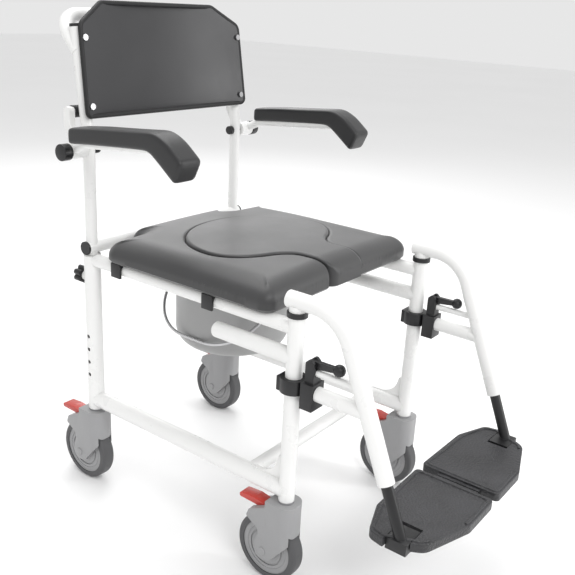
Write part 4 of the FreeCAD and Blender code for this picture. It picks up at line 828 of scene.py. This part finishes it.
def make_backrest():
    """Bowed panel and the rubber rim round it."""
    outline = back_outline()
    centre = np.array([0.0, outline[:, 1].mean()])
    angles = np.linspace(0, 2 * math.pi, 361)
    reach = reach_of_rays(outline, centre, angles)
    shares = np.concatenate([np.linspace(0, 0.93, 16), [0.96, 0.98, 0.992, 1.0]])
    table = []
    for angle, far in zip(angles, reach):
        ray = np.array([math.cos(angle), math.sin(angle)])
        line = []
        for run, forward in ((shares, BACK_THICKNESS), (shares[::-1], BACK_REAR_SKIN)):
            for share in run:
                x, rise = centre + ray * far * share
                line.append(back_point(x, back_depth(x) - forward, rise))
        table.append(line)
    panel = wrapped_grid("back_panel", np.array(table))
    smooth(panel, 50)
    dress(panel, FINISHES["back"], "back_frame", "back_panel", "backrest")
    rim = [back_point(x, back_depth(x) - BACK_THICKNESS / 2, rise) for x, rise in outline]
    ring = swept_ring("back_rim", rim, shapes().back_rim_round, 12)
    dress(ring, FINISHES["rubber"], "back_frame", "bumper_rubber")


# ---------------------------------------------------------------------------------------------
# Footplates, softened mouldings and small parts
# ---------------------------------------------------------------------------------------------


def softened(name, key, slot, width):
    """A copy of a CAD piece with its edges rounded by a width in mm, which stands for it."""
    node = NODES[name]
    pick(node)
    bpy.ops.object.duplicate()
    piece = bpy.context.object
    piece.name = name + "_moulding"
    piece.data = piece.data.copy()
    piece.data.name = piece.name
    piece.parent = None
    piece.matrix_world = Matrix.Identity(4)
    for prop in list(piece.keys()):
        if prop.startswith("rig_"):
            del piece[prop]
    bpy.ops.object.mode_set(mode="EDIT")
    bpy.ops.mesh.select_all(action="SELECT")
    bpy.ops.mesh.remove_doubles(threshold=1e-5)
    bpy.ops.mesh.dissolve_limited(angle_limit=math.radians(1.0))
    bpy.ops.object.mode_set(mode="OBJECT")
    finish_with(piece, "BEVEL", width=width * MM, segments=3, limit_method="ANGLE",
                angle_limit=math.radians(32), use_clamp_overlap=True, harden_normals=False)
    smooth(piece, 35)
    return dress(piece, FINISHES[key], body_of(name), slot, name)


PLATE_RIM_INSET = 6 * MM
PLATE_RIM_RADIUS = 2.6 * MM
PLATE_RIM_LIFT = 0.2 * MM
PLATE_INNER_X = 13 * MM
PLATE_HINGE_WIDTH, PLATE_HINGE_LENGTH = 12 * MM, 22 * MM  # the rim stops here, at the hinge
PLATE_OUTER_X = 150 * MM  # the rim's gap is sought outside this


def make_plate_trim(side, sign):
    """Raised rim round a footplate, open where its hinge stands."""
    low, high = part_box("footplate_" + side)
    hinge = JOINTS["footplate_flip_" + side]["pos_m"]
    front, rear = low.y + PLATE_RIM_INSET, high.y - PLATE_RIM_INSET
    inner = PLATE_INNER_X + PLATE_RIM_INSET / 2
    wide, outer, close = 24 * MM, 14 * MM, 8 * MM
    outline = rounded_outline([
        (inner, front, close), (99 * MM, front, wide), (187 * MM, front + 30 * MM, wide),
        (214 * MM, low.y + 85 * MM, wide), (207 * MM, low.y + 114 * MM, outer),
        (148 * MM, rear - 5 * MM, wide), (inner, rear, close)], 8)
    keep = [p for p in outline if not (p[0] > hinge[0] * sign - PLATE_HINGE_WIDTH
                                       and abs(p[1] - hinge[1]) < PLATE_HINGE_LENGTH)]
    split = max(range(len(keep)), key=lambda i: np.linalg.norm(keep[i] - keep[i - 1])
                * (keep[i][0] > PLATE_OUTER_X))
    ordered = keep[split:] + keep[:split]
    rim = [(sign * x, y, high.z + PLATE_RIM_LIFT) for x, y in ordered]
    bar = swept_ring("plate_rim_" + side, rim, PLATE_RIM_RADIUS, 10, closed=False, flatten=0.7)
    dress(bar, FINISHES["plate"], "footplate_" + side, "plate_plastic")


CAP_RADIUS, CAP_LENGTH, CAP_ROUND, CAP_STAND = 7.5 * MM, 4 * MM, 1.6 * MM, 0.2 * MM
HUB_RING_RADII = (22 * MM, 41 * MM)
HUB_RING_ROUND = 1.1 * MM


def make_wheel_caps(tail):
    """Domed cover over the end of an axle, on both cheeks."""
    _, y, z = JOINTS["wheel_roll_" + tail]["pos_m"]
    low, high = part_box("fork_" + tail)
    for index, x in enumerate((low.x - CAP_STAND, high.x + CAP_STAND)):
        deselect()
        bpy.ops.mesh.primitive_cylinder_add(vertices=32, radius=CAP_RADIUS, depth=CAP_LENGTH,
                                            location=(x, y, z), rotation=(0, math.pi / 2, 0))
        piece = added("axle_cap_%s_%d" % (tail, index))
        finish_with(piece, "BEVEL", width=CAP_ROUND, segments=3, limit_method="ANGLE")
        smooth(piece)
        dress(piece, FINISHES["grey"], "caster_" + tail, "grey_plastic")


def make_hub_rings(tail):
    """Raised rings moulded on both faces of a wheel's centre."""
    _, y, z = JOINTS["wheel_roll_" + tail]["pos_m"]
    low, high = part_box("wheel_" + tail)
    turns = np.linspace(0, 2 * math.pi, 49)[:-1]
    for index, x in enumerate((low.x, high.x)):
        for count, radius in enumerate(HUB_RING_RADII):
            line = [(x, y + radius * math.cos(turn), z + radius * math.sin(turn))
                    for turn in turns]
            ring = swept_ring("hub_ring_%s_%d_%d" % (tail, index, count), line,
                              HUB_RING_ROUND, 8)
            dress(ring, FINISHES["grey"], "wheel_" + tail, "grey_plastic")


# ---------------------------------------------------------------------------------------------
# Operators
# ---------------------------------------------------------------------------------------------


class ChairOperator:
    """What every step of this add-on shares."""

    bl_options = {"REGISTER", "UNDO"}


class COMMODE_OT_finishes(ChairOperator, bpy.types.Operator):
    """Make the finishes and put them on the frame's own parts"""

    bl_idname = "commode.finishes"
    bl_label = "Finishes"

    def execute(self, context):
        make_finishes()
        for key, names in NODE_FINISH.items():
            for name in names:
                finish_node(name, key)
        return {"FINISHED"}


class COMMODE_OT_seat(ChairOperator, bpy.types.Operator):
    """Make the seat cushion and its lid"""

    bl_idname = "commode.seat"
    bl_label = "Seat and lid"

    def execute(self, context):
        make_seat()
        make_lid()
        return {"FINISHED"}


class COMMODE_OT_arm_pads(ChairOperator, bpy.types.Operator):
    """Make the two arm pads"""

    bl_idname = "commode.arm_pads"
    bl_label = "Arm pads"

    def execute(self, context):
        for side, sign in SIDES:
            make_arm_pad(side, sign)
        return {"FINISHED"}


class COMMODE_OT_backrest(ChairOperator, bpy.types.Operator):
    """Make the backrest panel and its rim"""

    bl_idname = "commode.backrest"
    bl_label = "Backrest"

    def execute(self, context):
        make_backrest()
        return {"FINISHED"}


class COMMODE_OT_footplates(ChairOperator, bpy.types.Operator):
    """Add the rims of the footplates"""

    bl_idname = "commode.footplates"
    bl_label = "Footplates"

    def execute(self, context):
        for side, sign in SIDES:
            make_plate_trim(side, sign)
        return {"FINISHED"}


class COMMODE_OT_casters(ChairOperator, bpy.types.Operator):
    """Round the casters' mouldings and cover their axles"""

    bl_idname = "commode.casters"
    bl_label = "Casters"

    def execute(self, context):
        for end, side in CASTERS:
            tail = "%s_%s" % (end, side)
            softened("fork_" + tail, "grey", "grey_plastic", 2.0)
            softened("pedal_" + tail, "red", "red_plastic", 1.5)
            finish_node("wheel_" + tail, "grey")
            finish_node("tyre_" + tail, "tread")
            make_wheel_caps(tail)
            make_hub_rings(tail)
        return {"FINISHED"}


class COMMODE_OT_mouldings(ChairOperator, bpy.types.Operator):
    """Round the edges of the latches, brackets, clips, knobs and stem blocks"""

    bl_idname = "commode.mouldings"
    bl_label = "Small mouldings"

    def execute(self, context):
        for name, width in MOULDINGS:
            softened(name, "black", "black_plastic", width)
        return {"FINISHED"}


class COMMODE_OT_stage(ChairOperator, bpy.types.Operator):
    """Make the floor, the lights and the camera"""

    bl_idname = "commode.stage"
    bl_label = "Stage"

    def execute(self, context):
        make_floor()
        make_lights()
        make_camera()
        return {"FINISHED"}


def make_floor():
    """White floor with a slow change of tone."""
    deselect()
    bpy.ops.mesh.primitive_plane_add(size=30)
    floor = added("floor")
    material, tree, shader, place = new_material("floor_white")
    cloud = noise_of(tree, place, 0.8, 3.0)
    tone = shaded(tree, cloud.outputs["Fac"], (0.90, 0.90, 0.90), (0.94, 0.94, 0.94))
    tree.links.new(tone, shader.inputs["Base Color"])
    shader.inputs["Roughness"].default_value = 0.75
    floor.data.materials.append(material)


LAMPS = (
    # name, place, power in watts, width, height
    ("key", (-1.2, -2.2, 2.9), 42.0, 1.4, 1.4),
    ("fill", (-3.0, 0.8, 1.4), 4.0, 2.0, 2.0),
    ("top", (0.5, 0.9, 3.0), 40.0, 2.0, 2.0),
    ("strip", (1.12, -1.85, 1.25), 16.0, 0.30, 1.7),
    ("rear", (2.2, 2.4, 2.0), 16.0, 1.6, 1.6),
)


WORLD_STRENGTH = 0.80
LAMP_TARGET = (0, 0.1, 0.55)


def make_lights():
    """White surroundings and the area lamps, all turned to the chair."""
    world = bpy.data.worlds.new("studio")
    bpy.context.scene.world = world
    world.use_nodes = True
    background = world.node_tree.nodes["Background"]
    background.inputs["Color"].default_value = (1.0, 1.0, 1.0, 1.0)
    background.inputs["Strength"].default_value = WORLD_STRENGTH
    target = Vector(LAMP_TARGET)
    for name, place, power, width, height in LAMPS:
        deselect()
        bpy.ops.object.light_add(type="AREA", location=place)
        lamp = bpy.context.object
        lamp.name = name + "_light"
        lamp.data.shape = "RECTANGLE"
        lamp.data.energy = power
        lamp.data.size = width
        lamp.data.size_y = height
        lamp.rotation_euler = (target - Vector(place)).to_track_quat("-Z", "Y").to_euler()
    bpy.context.scene.view_settings.view_transform = "Standard"


CAMERA_PLACE = (-1.137, -0.806, 0.955)
CAMERA_TURN = math.radians(-53.84)
CAMERA_RISE = math.radians(19.64)
CAMERA_ROLL = math.radians(3.2)
CAMERA_LENS = 49.9


def make_camera():
    """Camera turned about the vertical, raised and rolled a little."""
    deselect()
    bpy.ops.object.camera_add()
    camera = bpy.context.object
    camera.name = "view_camera"
    back = Vector((math.sin(CAMERA_TURN) * math.cos(CAMERA_RISE),
                   -math.cos(CAMERA_TURN) * math.cos(CAMERA_RISE), math.sin(CAMERA_RISE)))
    right = Vector((math.cos(CAMERA_TURN), math.sin(CAMERA_TURN), 0.0))
    up = back.cross(right)
    rolled_right = right * math.cos(CAMERA_ROLL) + up * math.sin(CAMERA_ROLL)
    rolled_up = up * math.cos(CAMERA_ROLL) - right * math.sin(CAMERA_ROLL)
    turn = Matrix((rolled_right, rolled_up, back)).transposed()
    camera.matrix_world = Matrix.Translation(CAMERA_PLACE) @ turn.to_4x4()
    camera.data.lens = CAMERA_LENS
    camera.data.sensor_width = 36.0
    camera.data.clip_start = 0.05
    bpy.context.scene.camera = camera


STEPS = (COMMODE_OT_finishes, COMMODE_OT_seat, COMMODE_OT_arm_pads, COMMODE_OT_backrest,
         COMMODE_OT_footplates, COMMODE_OT_casters, COMMODE_OT_mouldings, COMMODE_OT_stage)


class COMMODE_PT_panel(bpy.types.Panel):
    """Lists the steps that build the chair's looks"""

    bl_idname = "COMMODE_PT_panel"
    bl_label = "Commode chair"
    bl_space_type = "VIEW_3D"
    bl_region_type = "UI"
    bl_category = "Commode chair"

    def draw(self, context):
        for step in STEPS:
            self.layout.operator(step.bl_idname)


CLASSES = (CommodeColours, CommodeShapes) + STEPS + (COMMODE_PT_panel,)


def register():
    for item in CLASSES:
        bpy.utils.register_class(item)
    bpy.types.Scene.commode_colours = bpy.props.PointerProperty(type=CommodeColours)
    bpy.types.Scene.commode_shapes = bpy.props.PointerProperty(type=CommodeShapes)


def unregister():
    del bpy.types.Scene.commode_shapes
    del bpy.types.Scene.commode_colours
    for item in reversed(CLASSES):
        bpy.utils.unregister_class(item)


def main():
    register()
    for step in STEPS:
        group, name = step.bl_idname.split(".")
        getattr(getattr(bpy.ops, group), name)()
    deselect()


if __name__ == "__main__":
    main()
